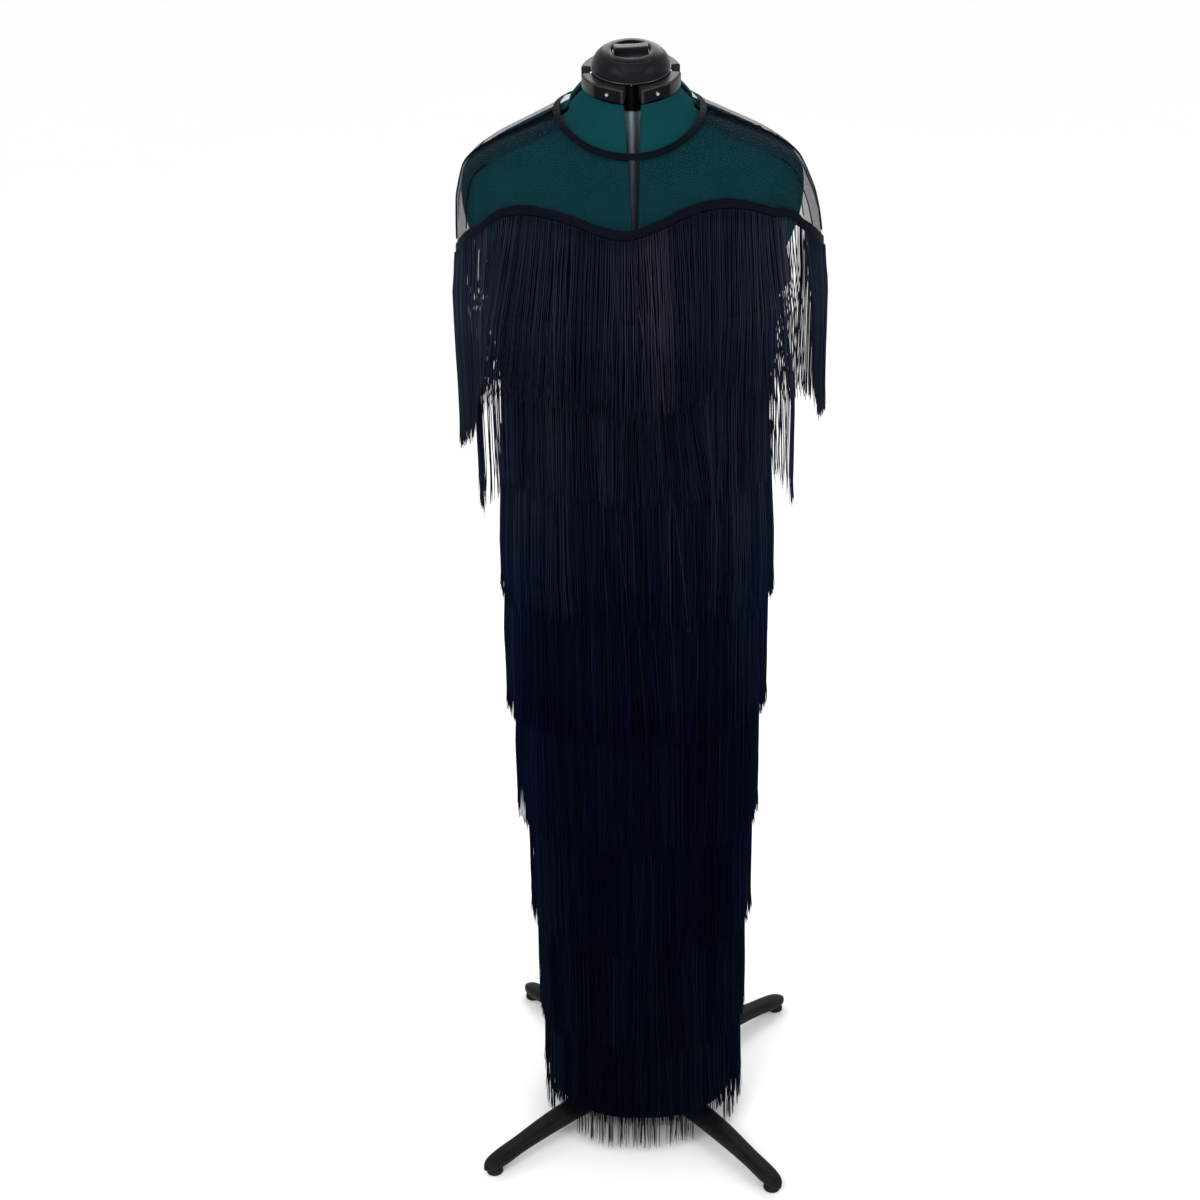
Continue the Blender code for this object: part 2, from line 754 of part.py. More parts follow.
def make_neck_clips():
    """Four blocks on an arc round the cap, each over one panel."""
    half_slot = math.asin(CLIP_SLOT / 2 / CLIP_RADIUS)
    low, high = Vector((0, 0, SEAM_GAP)), Vector((0, 0, CLIP_HEIGHT))
    edge = Vector((0, 0, CLIP_HEIGHT - CLIP_EDGE))
    for name, start in (("back_right", 0), ("back_left", 90), ("front_left", 180), ("front_right", 270)):
        begin = math.radians(start) + half_slot
        end = math.radians(start + 90) - half_slot
        sections = []
        for i in range(CLIP_STEPS + 1):
            turn = mix(begin, end, i / CLIP_STEPS)
            ray = Vector((math.cos(turn), math.sin(turn), 0))
            sections.append(
                (
                    ray * CLIP_INNER + low,
                    ray * CLIP_RADIUS + low,
                    ray * CLIP_RADIUS + edge,
                    ray * (CLIP_RADIUS - CLIP_EDGE) + high,
                    ray * CLIP_INNER + high,
                )
            )
        clip = loft(f"neck_clip_{name}", sections, black_plastic(), closed=False)
        clip.matrix_world = neck_matrix()
        smooth(clip)


def turned(name, profile, sides, surface):
    """A solid turned about Z from a profile of radius and height."""
    bm = bmesh.new()
    verts = [bm.verts.new((radius, 0, height)) for radius, height in profile]
    edges = [bm.edges.new(pair) for pair in zip(verts, verts[1:])]
    if profile[0][0] > 0:
        edges.append(bm.edges.new((verts[-1], verts[0])))
    bmesh.ops.spin(
        bm,
        geom=verts + edges,
        cent=(0, 0, 0),
        axis=(0, 0, 1),
        angle=2 * math.pi,
        steps=sides,
        use_merge=True,
        use_duplicate=False,
    )
    bmesh.ops.remove_doubles(bm, verts=bm.verts[:], dist=1e-6)
    obj = add_object(name, bm, surface)
    smooth(obj)
    return obj


def cap_levels():
    """Heights along the cap's axis: base, rim of the recess, floor of the recess."""
    base = CLIP_HEIGHT + SEAM_GAP
    rim = base + CAP_HEIGHT - CAP_DROP
    return base, rim, rim - DIAL_DEPTH


def make_cap():
    """A dome with a flat base, a short skirt and a round recess for the dial."""
    base, rim, floor = cap_levels()
    recess = DIAL_RADIUS + TUBE_GAP
    skirt = base + CAP_SKIRT
    profile = [(0, base), (CAP_RADIUS - 0.002, base), (CAP_RADIUS, skirt)]
    for i in range(1, 6):
        turn = math.radians(12 * i)
        out = mix(recess + 0.003, CAP_RADIUS, math.cos(turn * 1.5))
        profile.append((out, mix(skirt, rim, math.sin(turn * 1.5))))
    profile += [(recess, rim), (recess, floor), (0, floor)]
    cap = turned("neck_cap", profile, 32, black_plastic())
    cap.matrix_world = neck_matrix()


def make_dial():
    """A flat disc in the cap's recess with a bar to grip it by."""
    _, rim, floor = cap_levels()
    low, high = floor + SEAM_GAP, rim - DIAL_SINK
    bm = bmesh.new()
    bmesh.ops.create_cone(
        bm,
        cap_ends=True,
        segments=24,
        radius1=DIAL_RADIUS,
        radius2=DIAL_RADIUS,
        depth=high - low,
        matrix=Matrix.Translation((0, 0, (low + high) / 2)),
    )
    dial = add_object("dial", bm, black_plastic())
    bm = bmesh.new()
    bmesh.ops.create_cube(bm, size=1.0)
    for vert in bm.verts:
        vert.co.x *= GRIP_LENGTH
        vert.co.y *= GRIP_WIDTH
        vert.co.z = mix(rim - GRIP_SINK, rim + GRIP_RISE, vert.co.z + 0.5)
    bmesh.ops.bevel(
        bm,
        geom=bm.edges[:],
        offset=GRIP_EDGE,
        offset_type="OFFSET",
        segments=1,
        profile=0.5,
        affect="EDGES",
        material=-1,
    )
    grip = add_object("grip_cutter", bm, black_plastic())
    join_to(dial, grip)
    for obj in (dial, grip):
        obj.matrix_world = neck_matrix() @ Matrix.Rotation(DIAL_TURN, 4, "Z")
    smooth(dial)


def join_to(obj, piece):
    """Adds a hidden piece to an object."""
    piece.hide_render = True
    piece.display_type = "WIRE"
    join = obj.modifiers.new(piece.name, "BOOLEAN")
    join.operation = "UNION"
    join.object = piece


def make_socket():
    """The black socket under the cap. Its top is cut to the leaning plane of the cap."""
    bm = bmesh.new()
    plane = neck_matrix() @ Vector((0, 0, CLIP_HEIGHT))
    slope = math.tan(NECK_LEAN)
    bmesh.ops.create_cone(
        bm,
        cap_ends=True,
        segments=POLE_SIDES,
        radius1=SOCKET_RADIUS,
        radius2=SOCKET_RADIUS,
        depth=1.0,
    )
    for vert in bm.verts:
        if vert.co.z > 0:
            vert.co.z = plane.z + (vert.co.y - plane.y) * slope - SEAM_GAP
        else:
            vert.co.z = SOCKET_BOTTOM
    smooth(add_object("neck_socket", bm, black_plastic()))


def make_poles():
    bore = POLE_OUTER_RADIUS - POLE_WALL
    foot = HUB_BOTTOM + HUB_FLOOR + SEAM_GAP
    tube = [
        (bore, foot),
        (POLE_OUTER_RADIUS, foot),
        (POLE_OUTER_RADIUS, POLE_OUTER_TOP),
        (bore, POLE_OUTER_TOP),
    ]
    turned("pole_outer", tube, POLE_SIDES, black_plastic())
    inner_wall = POLE_INNER_RADIUS - POLE_WALL
    tube = [
        (inner_wall, POLE_INNER_BOTTOM),
        (POLE_INNER_RADIUS, POLE_INNER_BOTTOM),
        (POLE_INNER_RADIUS, SOCKET_BOTTOM - SEAM_GAP),
        (inner_wall, SOCKET_BOTTOM - SEAM_GAP),
    ]
    turned("pole_inner", tube, POLE_SIDES, grey_steel())
    low = POLE_OUTER_TOP + SEAM_GAP
    collar = [
        (bore, low),
        (COLLAR_RADIUS - 0.002, low),
        (COLLAR_RADIUS, low + 0.006),
        (COLLAR_RADIUS, low + COLLAR_HEIGHT - 0.010),
        (COLLAR_RADIUS - 0.004, low + COLLAR_HEIGHT),
        (bore, low + COLLAR_HEIGHT),
    ]
    turned("pole_collar", collar, POLE_SIDES, black_plastic())


def make_waist_bracket():
    """A ring on the inner pole with an arm to each panel."""
    bore = POLE_INNER_RADIUS + TUBE_GAP
    low, high = WAIST_HEIGHT - BRACKET_HALF, WAIST_HEIGHT + BRACKET_HALF
    profile = [(bore, low), (BRACKET_RADIUS, low), (BRACKET_RADIUS, high), (bore, high)]
    bracket = turned("waist_bracket", profile, POLE_SIDES, black_plastic())
    section = next(row for row in FORM_RINGS if row["z_side"] == WAIST_HEIGHT)
    for i in range(4):
        reach = Vector(ring_plan(section, math.radians(45 + 90 * i)))
        length = reach.length - SHELL_WALL - ARM_GAP
        bm = bmesh.new()
        bmesh.ops.create_cube(bm, size=1.0)
        for vert in bm.verts:
            vert.co.x = mix(BRACKET_RADIUS - 0.004, length, vert.co.x + 0.5)
            vert.co.y *= ARM_WIDTH
            vert.co.z *= ARM_THICK
        arm = add_object(f"arm_{i}_cutter", bm, black_plastic())
        direction = Matrix.Rotation(math.atan2(reach.y, reach.x), 4, "Z")
        arm.matrix_world = Matrix.Translation((0, 0, WAIST_HEIGHT)) @ direction
        join_to(bracket, arm)


def make_hub():
    bore = POLE_OUTER_RADIUS + SEAM_GAP
    profile = [
        (0, HUB_BOTTOM),
        (HUB_RADIUS, HUB_BOTTOM),
        (HUB_RADIUS, HUB_SHOULDER),
        (0.030, HUB_NECK),
        (0.021, HUB_TOP),
        (bore, HUB_TOP),
        (bore, HUB_BOTTOM + HUB_FLOOR),
        (0, HUB_BOTTOM + HUB_FLOOR),
    ]
    turned("hub", profile, 24, black_plastic())


def make_foot(number, place):
    bm = bmesh.new()
    bmesh.ops.create_cone(
        bm,
        cap_ends=True,
        segments=16,
        radius1=FOOT_RADIUS,
        radius2=FOOT_RADIUS - 0.001,
        depth=FOOT_HEIGHT,
        matrix=Matrix.Translation(place + Vector((0, 0, FOOT_HEIGHT / 2))),
    )
    smooth(add_object(f"foot_{number}", bm, black_plastic()))


def make_legs():
    start = HUB_RADIUS + SEAM_GAP
    for number, direction in enumerate(leg_directions(), 1):
        across = Vector((-direction.y, direction.x, 0))
        sections = []
        for share, half, low, high in LEG_SECTIONS:
            at = direction * mix(start, LEG_REACH + FOOT_RADIUS, share)
            edge = (high - low) * LEG_EDGE_SHARE
            flat = half * LEG_FLAT_SHARE
            outline = [
                (-half, low),
                (half, low),
                (half, high - edge),
                (flat, high),
                (-flat, high),
                (-half, high - edge),
            ]
            sections.append([at + across * s + Vector((0, 0, z)) for s, z in outline])
        leg = loft(f"leg_{number}", sections, black_plastic(), closed=False)
        smooth(leg)
        make_foot(number, direction * (LEG_REACH - FOOT_INSET))


def main():
    clear_scene()
    make_yoke()
    make_body()
    make_neck_binding()
    make_band("yoke_band_front", FRONT_ANGLES, -1)
    make_band("yoke_band_back", BACK_ANGLES, 1)
    make_top_row("fringe_row_1_front", FRONT_ANGLES, -1)
    make_top_row("fringe_row_1_back", BACK_ANGLES, 1)
    for i in range(ROW_COUNT):
        make_row(i + 2, HEADER_TOP - i * ROW_SPACING)
    make_panels()
    make_neck_clips()
    make_cap()
    make_dial()
    make_socket()
    make_poles()
    make_waist_bracket()
    make_hub()
    make_legs()


main()
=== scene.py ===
import json
import math

import bmesh
import bpy
import numpy as np
from mathutils import Matrix, Vector

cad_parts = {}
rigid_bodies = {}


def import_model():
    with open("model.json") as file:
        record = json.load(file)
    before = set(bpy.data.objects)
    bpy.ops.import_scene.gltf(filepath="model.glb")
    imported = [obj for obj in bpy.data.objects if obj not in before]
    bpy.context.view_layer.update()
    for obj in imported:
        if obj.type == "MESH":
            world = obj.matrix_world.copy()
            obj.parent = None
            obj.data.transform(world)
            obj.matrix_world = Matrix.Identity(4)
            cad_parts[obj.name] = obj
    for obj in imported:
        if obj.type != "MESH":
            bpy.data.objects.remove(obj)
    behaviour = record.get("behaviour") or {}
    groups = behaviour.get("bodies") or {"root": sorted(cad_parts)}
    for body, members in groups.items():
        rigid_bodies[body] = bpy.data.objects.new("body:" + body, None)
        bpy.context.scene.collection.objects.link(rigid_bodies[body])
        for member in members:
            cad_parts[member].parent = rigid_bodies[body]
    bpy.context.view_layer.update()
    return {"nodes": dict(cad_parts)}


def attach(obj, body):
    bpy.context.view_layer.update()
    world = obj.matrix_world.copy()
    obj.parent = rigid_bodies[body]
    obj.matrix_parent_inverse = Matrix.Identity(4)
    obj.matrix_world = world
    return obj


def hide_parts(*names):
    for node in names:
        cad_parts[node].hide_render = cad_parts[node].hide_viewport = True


# Looks for the fringe dress on its adjustable form. Metres, +Z up, the front faces -Y.
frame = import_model()
dice = np.random.default_rng(14)



def addToScene(name, data):
    thing = bpy.data.objects.new(name, data)
    bpy.context.scene.collection.objects.link(thing)
    return thing


# Camera, floor and soft light
stage = {
    "lens": 51.0,
    "sensor": 36.0,
    "place": (-0.050, -2.060, 1.787),
    "tilt": 65.0,
    "roll": -1.3,
    "floorSize": 60.0,
    "floorColour": (0.975, 0.975, 0.975),
    "skyColour": (0.99, 0.995, 1.0),
    "skyStrength": 1.02,
}
# Soft boxes: place, aimed at, width, height, watts
softBoxes = [
    ((-1.5, -2.2, 3.0), (0.0, 0.0, 1.30), 1.6, 1.6, 44.0),
    ((2.0, -1.5, 2.5), (0.0, 0.0, 1.25), 1.0, 1.8, 20.0),
    ((0.3, 2.2, 2.8), (0.0, 0.0, 1.20), 1.8, 1.2, 26.0),
]

lens = bpy.data.cameras.new("photoCamera")
lens.lens = stage["lens"]
lens.sensor_width = stage["sensor"]
camera = addToScene("photoCamera", lens)
camera.location = stage["place"]
tilted = Matrix.Rotation(math.radians(stage["tilt"]), 3, "X")
rolled = Matrix.Rotation(math.radians(stage["roll"]), 3, "Z")
camera.rotation_euler = (tilted @ rolled).to_euler()
bpy.context.scene.camera = camera

for number, (place, target, width, height, power) in enumerate(softBoxes):
    light = bpy.data.lights.new(f"softBox{number}", "AREA")
    light.shape = "RECTANGLE"
    light.size = width
    light.size_y = height
    light.energy = power
    lamp = addToScene(f"softBox{number}", light)
    lamp.location = place
    aim = Vector(target) - Vector(place)
    lamp.rotation_euler = aim.to_track_quat("-Z", "Y").to_euler()

sky = bpy.data.worlds.new("studio")
bpy.context.scene.world = sky
sky.use_nodes = True
skyShade = sky.node_tree.nodes["Background"]
skyShade.inputs["Color"].default_value = (*stage["skyColour"], 1)
skyShade.inputs["Strength"].default_value = stage["skyStrength"]
bpy.context.scene.view_settings.view_transform = "Standard"


# Materials
def newMaterial(name, colour, roughness, **sockets):
    material = bpy.data.materials.new(name)
    material.use_nodes = True
    shaderInput(material, "Base Color").default_value = (*colour, 1)
    shaderInput(material, "Roughness").default_value = roughness
    for socket, value in sockets.items():
        shaderInput(material, socket.replace("_", " ")).default_value = value
    return material


def addNode(material, kind, **settings):
    node = material.node_tree.nodes.new(kind)
    for name, value in settings.items():
        setattr(node, name, value)
    return node


def join(material, source, target):
    material.node_tree.links.new(source, target)


def shaderInput(material, name):
    return material.node_tree.nodes["Principled BSDF"].inputs[name]


def coordinates(material, kind, scale=(1, 1, 1), turn=(0, 0, 0)):
    # "Object" or "UV" places, in metres, stretched by scale
    places = addNode(material, "ShaderNodeTexCoord")
    mapping = addNode(material, "ShaderNodeMapping")
    mapping.inputs["Scale"].default_value = scale
    mapping.inputs["Rotation"].default_value = [math.radians(t) for t in turn]
    join(material, places.outputs[kind], mapping.inputs["Vector"])
    return mapping.outputs["Vector"]


def noiseTone(material, vector, scale, detail=3.0, roughness=0.55):
    noise = addNode(material, "ShaderNodeTexNoise")
    noise.inputs["Scale"].default_value = scale
    noise.inputs["Detail"].default_value = detail
    noise.inputs["Roughness"].default_value = roughness
    join(material, vector, noise.inputs["Vector"])
    return noise.outputs["Fac"]


def bands(material, vector, scale, distortion=0.0, direction="X"):
    wave = addNode(material, "ShaderNodeTexWave", bands_direction=direction)
    wave.inputs["Scale"].default_value = scale
    wave.inputs["Distortion"].default_value = distortion
    join(material, vector, wave.inputs["Vector"])
    return wave.outputs["Fac"]


def mapped(material, tone, **ends):
    # maps a tone from one span to another, 0 to 1 where nothing is said
    span = addNode(material, "ShaderNodeMapRange")
    for end, value in ends.items():
        span.inputs[end.replace("_", " ")].default_value = value
    join(material, tone, span.inputs["Value"])
    return span.outputs["Result"]


def mixTones(material, a, b, shareA):
    # shareA of one tone and the rest of the other
    total = addNode(material, "ShaderNodeMath", operation="MULTIPLY_ADD")
    scaled = addNode(material, "ShaderNodeMath", operation="MULTIPLY")
    join(material, b, scaled.inputs[0])
    scaled.inputs[1].default_value = 1 - shareA
    join(material, a, total.inputs[0])
    total.inputs[1].default_value = shareA
    join(material, scaled.outputs[0], total.inputs[2])
    return total.outputs[0]


def rampOf(material, tone, stops):
    # stops are (place, colour)
    ramp = addNode(material, "ShaderNodeValToRGB")
    while len(ramp.color_ramp.elements) < len(stops):
        ramp.color_ramp.elements.new(0.5)
    for element, (place, colour) in zip(ramp.color_ramp.elements, stops):
        element.position = place
        element.color = (*colour, 1)
    join(material, tone, ramp.inputs["Fac"])
    return ramp.outputs["Color"]


def colourBy(material, tone, *stops):
    join(material, rampOf(material, tone, stops), shaderInput(material, "Base Color"))


def roughBy(material, tone, low, high):
    rough = mapped(material, tone, To_Min=low, To_Max=high)
    join(material, rough, shaderInput(material, "Roughness"))


def bumpBy(material, tone, depth, strength=1.0):
    # depth is the relief's height in metres
    bump = addNode(material, "ShaderNodeBump")
    bump.inputs["Strength"].default_value = strength
    bump.inputs["Distance"].default_value = depth
    join(material, tone, bump.inputs["Height"])
    join(material, bump.outputs["Normal"], shaderInput(material, "Normal"))


def shadeByHeight(material, heightShades):
    # painted shade: multiplies the colour by a share that changes with height, so it darkens where
    # less light reaches: (height, share)
    colour = shaderInput(material, "Base Color")
    split = addNode(material, "ShaderNodeSeparateXYZ")
    join(material, coordinates(material, "Object"), split.inputs[0])
    top = heightShades[-1][0]
    height = mapped(material, split.outputs["Z"], From_Max=top)
    share = rampOf(material, height, [(place / top, left) for place, left in heightShades])
    mix = addNode(material, "ShaderNodeMixRGB", blend_type="MULTIPLY")
    mix.inputs["Fac"].default_value = 1.0
    join(material, colour.links[0].from_socket, mix.inputs["Color1"])
    join(material, share, mix.inputs["Color2"])
    join(material, mix.outputs["Color"], colour)


def makeSheerMesh(name, alpha):
    # fine net: threads both ways, a little lighter where they cross
    made = newMaterial(name, (0.005, 0.007, 0.014), 0.8, Alpha=alpha, Specular_IOR_Level=0.05)
    flat = coordinates(made, "UV")
    along = bands(made, flat, 330.0)
    across = bands(made, flat, 330.0, direction="Y")
    net = mixTones(made, along, across, 0.5)
    cloudy = noiseTone(made, flat, 26.0)
    tone = mixTones(made, net, cloudy, 0.45)
    colourBy(made, tone, (0.25, (0.003, 0.004, 0.009)), (0.8, (0.008, 0.011, 0.021)))
    return made


def makeTrim():
    # ribbed bias strip with a line of stitches at each edge
    made = newMaterial("trimBlack", (0.002, 0.003, 0.007), 0.6, Specular_IOR_Level=0.03)
    flat = coordinates(made, "UV")
    ribs = bands(made, flat, 420.0, 0.3)
    cloudy = noiseTone(made, flat, 60.0)
    tone = mixTones(made, ribs, cloudy, 0.5)
    colourBy(made, tone, (0.2, (0.0006, 0.0011, 0.0030)), (0.85, (0.0026, 0.0040, 0.0090)))
    roughBy(made, cloudy, 0.45, 0.7)
    bumpBy(made, ribs, 0.00012, 0.6)
    return made


def makeCloth():
    # smooth black knit, only seen between strands and from inside
    made = newMaterial("clothBlack", (0.002, 0.003, 0.005), 0.85, Specular_IOR_Level=0.03)
    flat = coordinates(made, "UV")
    wales = bands(made, flat, 300.0, 0.6)
    cloudy = noiseTone(made, flat, 18.0)
    tone = mixTones(made, wales, cloudy, 0.4)
    colourBy(made, tone, (0.2, (0.0009, 0.0013, 0.0030)), (0.9, (0.0036, 0.0046, 0.0080)))
    bumpBy(made, wales, 0.0001, 0.6)
    return made


def makeStrand(name, gloss):
    # twisted rayon thread: each strand has its own tone, and painted shade makes the colour darker
    # and bluer lower down, where less light reaches
    dark, middle, light = strandTints
    made = newMaterial(name, middle, 0.45, Specular_IOR_Level=gloss)
    flat = coordinates(made, "UV")
    twist = bands(made, flat, 240.0, direction="DIAGONAL")
    own = addNode(made, "ShaderNodeAttribute", attribute_name="tone")
    tone = mixTones(made, own.outputs["Fac"], twist, 0.75)
    colourBy(made, tone, (0.15, dark), (0.60, middle), (0.95, light))
    # painted shade: darker and bluer lower down the dress, where less light reaches
    shadeByHeight(made, strandHeightShade)
    roughBy(made, own.outputs["Fac"], 0.34, 0.56)
    bumpBy(made, twist, 0.0001, 0.4)
    return made


def makeGreenCover():
    # fine knit with low ribs that run nearly level
    made = newMaterial("greenCover", (0.0014, 0.042, 0.046), 0.85, Specular_IOR_Level=0.05)
    places = coordinates(made, "Object", (1, 1, 1), (0, 8, 0))
    ribs = bands(made, places, 160.0, 0.4, "Z")
    cloudy = noiseTone(made, coordinates(made, "Object"), 30.0)
    tone = mixTones(made, ribs, cloudy, 0.6)
    colourBy(
        made,
        tone,
        (0.15, (0.0008, 0.0255, 0.031)),
        (0.50, (0.0013, 0.0345, 0.040)),
        (0.85, (0.0024, 0.0440, 0.050)),
    )
    bumpBy(made, ribs, 0.00006, 0.35)
    return made


def makePlastic(name, colour, low, high, grain, gloss=0.2):
    # moulded plastic with a faint grain and handled patches
    made = newMaterial(name, colour, (low + high) / 2, Specular_IOR_Level=gloss)
    places = coordinates(made, "Object")
    patches = noiseTone(made, places, 38.0, 4.0, 0.6)
    fine = noiseTone(made, places, grain, 2.0)
    light = tuple(min(1.0, c * 1.9 + 0.002) for c in colour)
    colourBy(made, patches, (0.35, colour), (0.75, light))
    roughBy(made, mapped(made, patches, From_Min=0.3, From_Max=0.75), low, high)
    bumpBy(made, fine, 0.00012, 0.35)
    return made


def makeSteel(name, colour, low, high):
    # drawn tube: fine streaks along it
    made = newMaterial(name, colour, 0.3, Metallic=1.0)
    streaks = coordinates(made, "Object", (1, 1, 0.04))
    fine = noiseTone(made, streaks, 700.0, 3.0)
    patches = noiseTone(made, coordinates(made, "Object"), 45.0)
    tone = mixTones(made, fine, patches, 0.5)
    dark = tuple(c * 0.72 for c in colour)
    colourBy(made, tone, (0.3, dark), (0.75, colour))
    roughBy(made, tone, low, high)
    bumpBy(made, fine, 0.00005, 0.3)
    return made


def makeFloorPaint():
    made = newMaterial("floorPaint", stage["floorColour"], 0.7)
    cloudy = noiseTone(made, coordinates(made, "Object"), 0.7)
    base = stage["floorColour"]
    colourBy(made, cloudy, (0.2, tuple(c * 0.985 for c in base)), (0.8, base))
    return made


# Thread tones at the chest, where the lightest, warm tint is a painted highlight for strands that
# catch the light; then painted shade: the share of red, green and blue that shows at each height,
# less lower down where less light reaches
strandTints = [(0.0030, 0.0049, 0.0148), (0.0105, 0.0160, 0.0340), (0.0500, 0.0475, 0.0600)]
strandHeightShade = [
    (0.000, (0.120, 0.210, 0.300)),
    (0.250, (0.110, 0.200, 0.300)),
    (0.500, (0.085, 0.155, 0.330)),
    (0.700, (0.100, 0.160, 0.350)),
    (0.780, (0.170, 0.270, 0.460)),
    (0.860, (0.170, 0.310, 0.500)),
    (0.930, (0.310, 0.420, 0.630)),
    (1.000, (0.430, 0.550, 0.660)),
    (1.130, (0.500, 0.560, 0.610)),
    (1.190, (0.620, 0.680, 0.740)),
    (1.240, (1.000, 1.000, 1.000)),
    (1.400, (1.000, 1.000, 1.000)),
]
# Each row's gloss, lowered down the dress as painted shade where less light reaches
strandRowShadedGloss = {
    1: ("strandTop", 0.055),
    2: ("strandChest", 0.028),
    3: ("strandWaist", 0.022),
    4: ("strandHip", 0.014),
    5: ("strandThigh", 0.009),
    6: ("strandKnee", 0.007),
    7: ("strandCalf", 0.007),
    8: ("strandHem", 0.007),
}
sheerMesh = makeSheerMesh("sheerMesh", 0.15)
sleeveMesh = makeSheerMesh("sleeveMesh", 0.32)
trimBlack = makeTrim()
clothBlack = makeCloth()
strandBlack = {number: makeStrand(*look) for number, look in strandRowShadedGloss.items()}
greenCover = makeGreenCover()
neckPlastic = makePlastic("neckPlastic", (0.0028, 0.0032, 0.0046), 0.24, 0.40, 2600.0, 0.07)
clipPlastic = makePlastic("clipPlastic", (0.0090, 0.0088, 0.0090), 0.26, 0.42, 2600.0, 0.20)
facetPlastic = makePlastic("facetPlastic", (0.0020, 0.0026, 0.0044), 0.30, 0.44, 2600.0, 0.05)
platePlastic = makePlastic("platePlastic", (0.0050, 0.0058, 0.0082), 0.50, 0.62, 2600.0, 0.05)
gripPlastic = makePlastic("gripPlastic", (0.0040, 0.0044, 0.0050), 0.16, 0.40, 900.0, 0.20)
lipPlastic = makePlastic("lipPlastic", (0.0032, 0.0036, 0.0048), 0.08, 0.14, 2600.0, 0.5)
standPlastic = makePlastic("standPlastic", (0.0035, 0.0035, 0.0042), 0.36, 0.55, 1800.0, 0.08)
shellPlastic = makePlastic("shellPlastic", (0.014, 0.014, 0.016), 0.45, 0.65, 1500.0)
footRubber = makePlastic("footRubber", (0.007, 0.007, 0.007), 0.6, 0.8, 1200.0, 0.1)
poleSteel = makeSteel("poleSteel", (0.60, 0.74, 0.84), 0.44, 0.58)
screwSteel = makeSteel("screwSteel", (0.66, 0.66, 0.66), 0.22, 0.40)

floorMesh = bmesh.new()
bmesh.ops.create_grid(floorMesh, x_segments=2, y_segments=2, size=stage["floorSize"] / 2)
floorData = bpy.data.meshes.new("floor")
floorMesh.to_mesh(floorData)
floorMesh.free()
floorData.materials.append(makeFloorPaint())
addToScene("floor", floorData)
print("stage: camera, floor and light")

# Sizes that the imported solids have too
ringColumns = ("zFront", "zSide", "zBack", "halfWidth", "front", "back", "square", "shift")
formRings = [
    (1.4770, 1.4942, 1.5114, 0.0560, 0.0562, 0.0562, 2.0, 0),
    (1.4520, 1.4780, 1.4960, 0.0715, 0.0670, 0.0620, 2.0, 0),
    (1.4250, 1.4640, 1.4780, 0.0795, 0.0810, 0.0705, 2.1, 0),
    (1.4050, 1.4470, 1.4550, 0.1215, 0.0905, 0.0820, 2.3, 0),
    (1.3900, 1.4275, 1.4300, 0.1665, 0.0975, 0.0905, 2.5, 0),
    (1.3780, 1.4065, 1.4080, 0.1965, 0.1020, 0.0965, 2.5, 0),
    (1.3600, 1.3840, 1.3850, 0.2045, 0.1065, 0.1000, 2.5, 0),
    (1.3350, 1.3480, 1.3480, 0.2020, 0.1105, 0.1020, 2.5, 0),
    (1.3050, 1.3060, 1.3080, 0.1875, 0.1190, 0.1030, 2.4, 0),
    (1.2800, 1.2750, 1.2780, 0.1660, 0.1270, 0.1035, 2.3, 0),
    (1.2450, 1.2400, 1.2450, 0.1580, 0.1330, 0.1020, 2.3, 0),
    (1.1800, 1.1800, 1.1800, 0.1460, 0.1170, 0.0960, 2.2, 0),
    (1.0850, 1.0850, 1.0850, 0.1280, 0.0880, 0.0850, 2.2, 0),
    (0.9900, 0.9900, 0.9900, 0.1500, 0.1000, 0.1040, 2.2, 0),
    (0.8900, 0.8900, 0.8900, 0.1600, 0.1120, 0.1200, 2.3, 0),
    (0.7700, 0.7700, 0.7700, 0.1520, 0.1080, 0.1120, 2.3, 0),
]
yokeRings = [
    (1.4270, 1.4670, 1.4810, 0.0825, 0.0830, 0.0725, 2.1, -0.002),
    (1.4075, 1.4500, 1.4580, 0.1235, 0.0928, 0.0843, 2.3, 0),
    (1.3925, 1.4305, 1.4330, 0.1690, 0.0999, 0.0929, 2.5, 0),
    (1.3800, 1.4090, 1.4105, 0.1995, 0.1046, 0.0991, 2.5, 0),
    (1.3650, 1.3790, 1.3860, 0.2115, 0.1090, 0.1030, 2.5, 0.0025),
    (1.3450, 1.3430, 1.3610, 0.2180, 0.1140, 0.1065, 2.5, 0.006),
    (1.3150, 1.2980, 1.3250, 0.2220, 0.1210, 0.1105, 2.5, 0.0085),
]
# Height of the yoke's lower edge across the front: x, z
frontSeam = [
    (-0.214, 1.306), (-0.206, 1.323), (-0.196, 1.335), (-0.181, 1.345), (-0.168, 1.357),
    (-0.153, 1.366), (-0.130, 1.371), (-0.101, 1.368), (-0.071, 1.360), (-0.036, 1.347),
    (-0.014, 1.343), (0.010, 1.347), (0.034, 1.356), (0.060, 1.367), (0.083, 1.373),
    (0.113, 1.374), (0.137, 1.369), (0.160, 1.361), (0.188, 1.353), (0.203, 1.337),
    (0.218, 1.321), (0.231, 1.306),
]
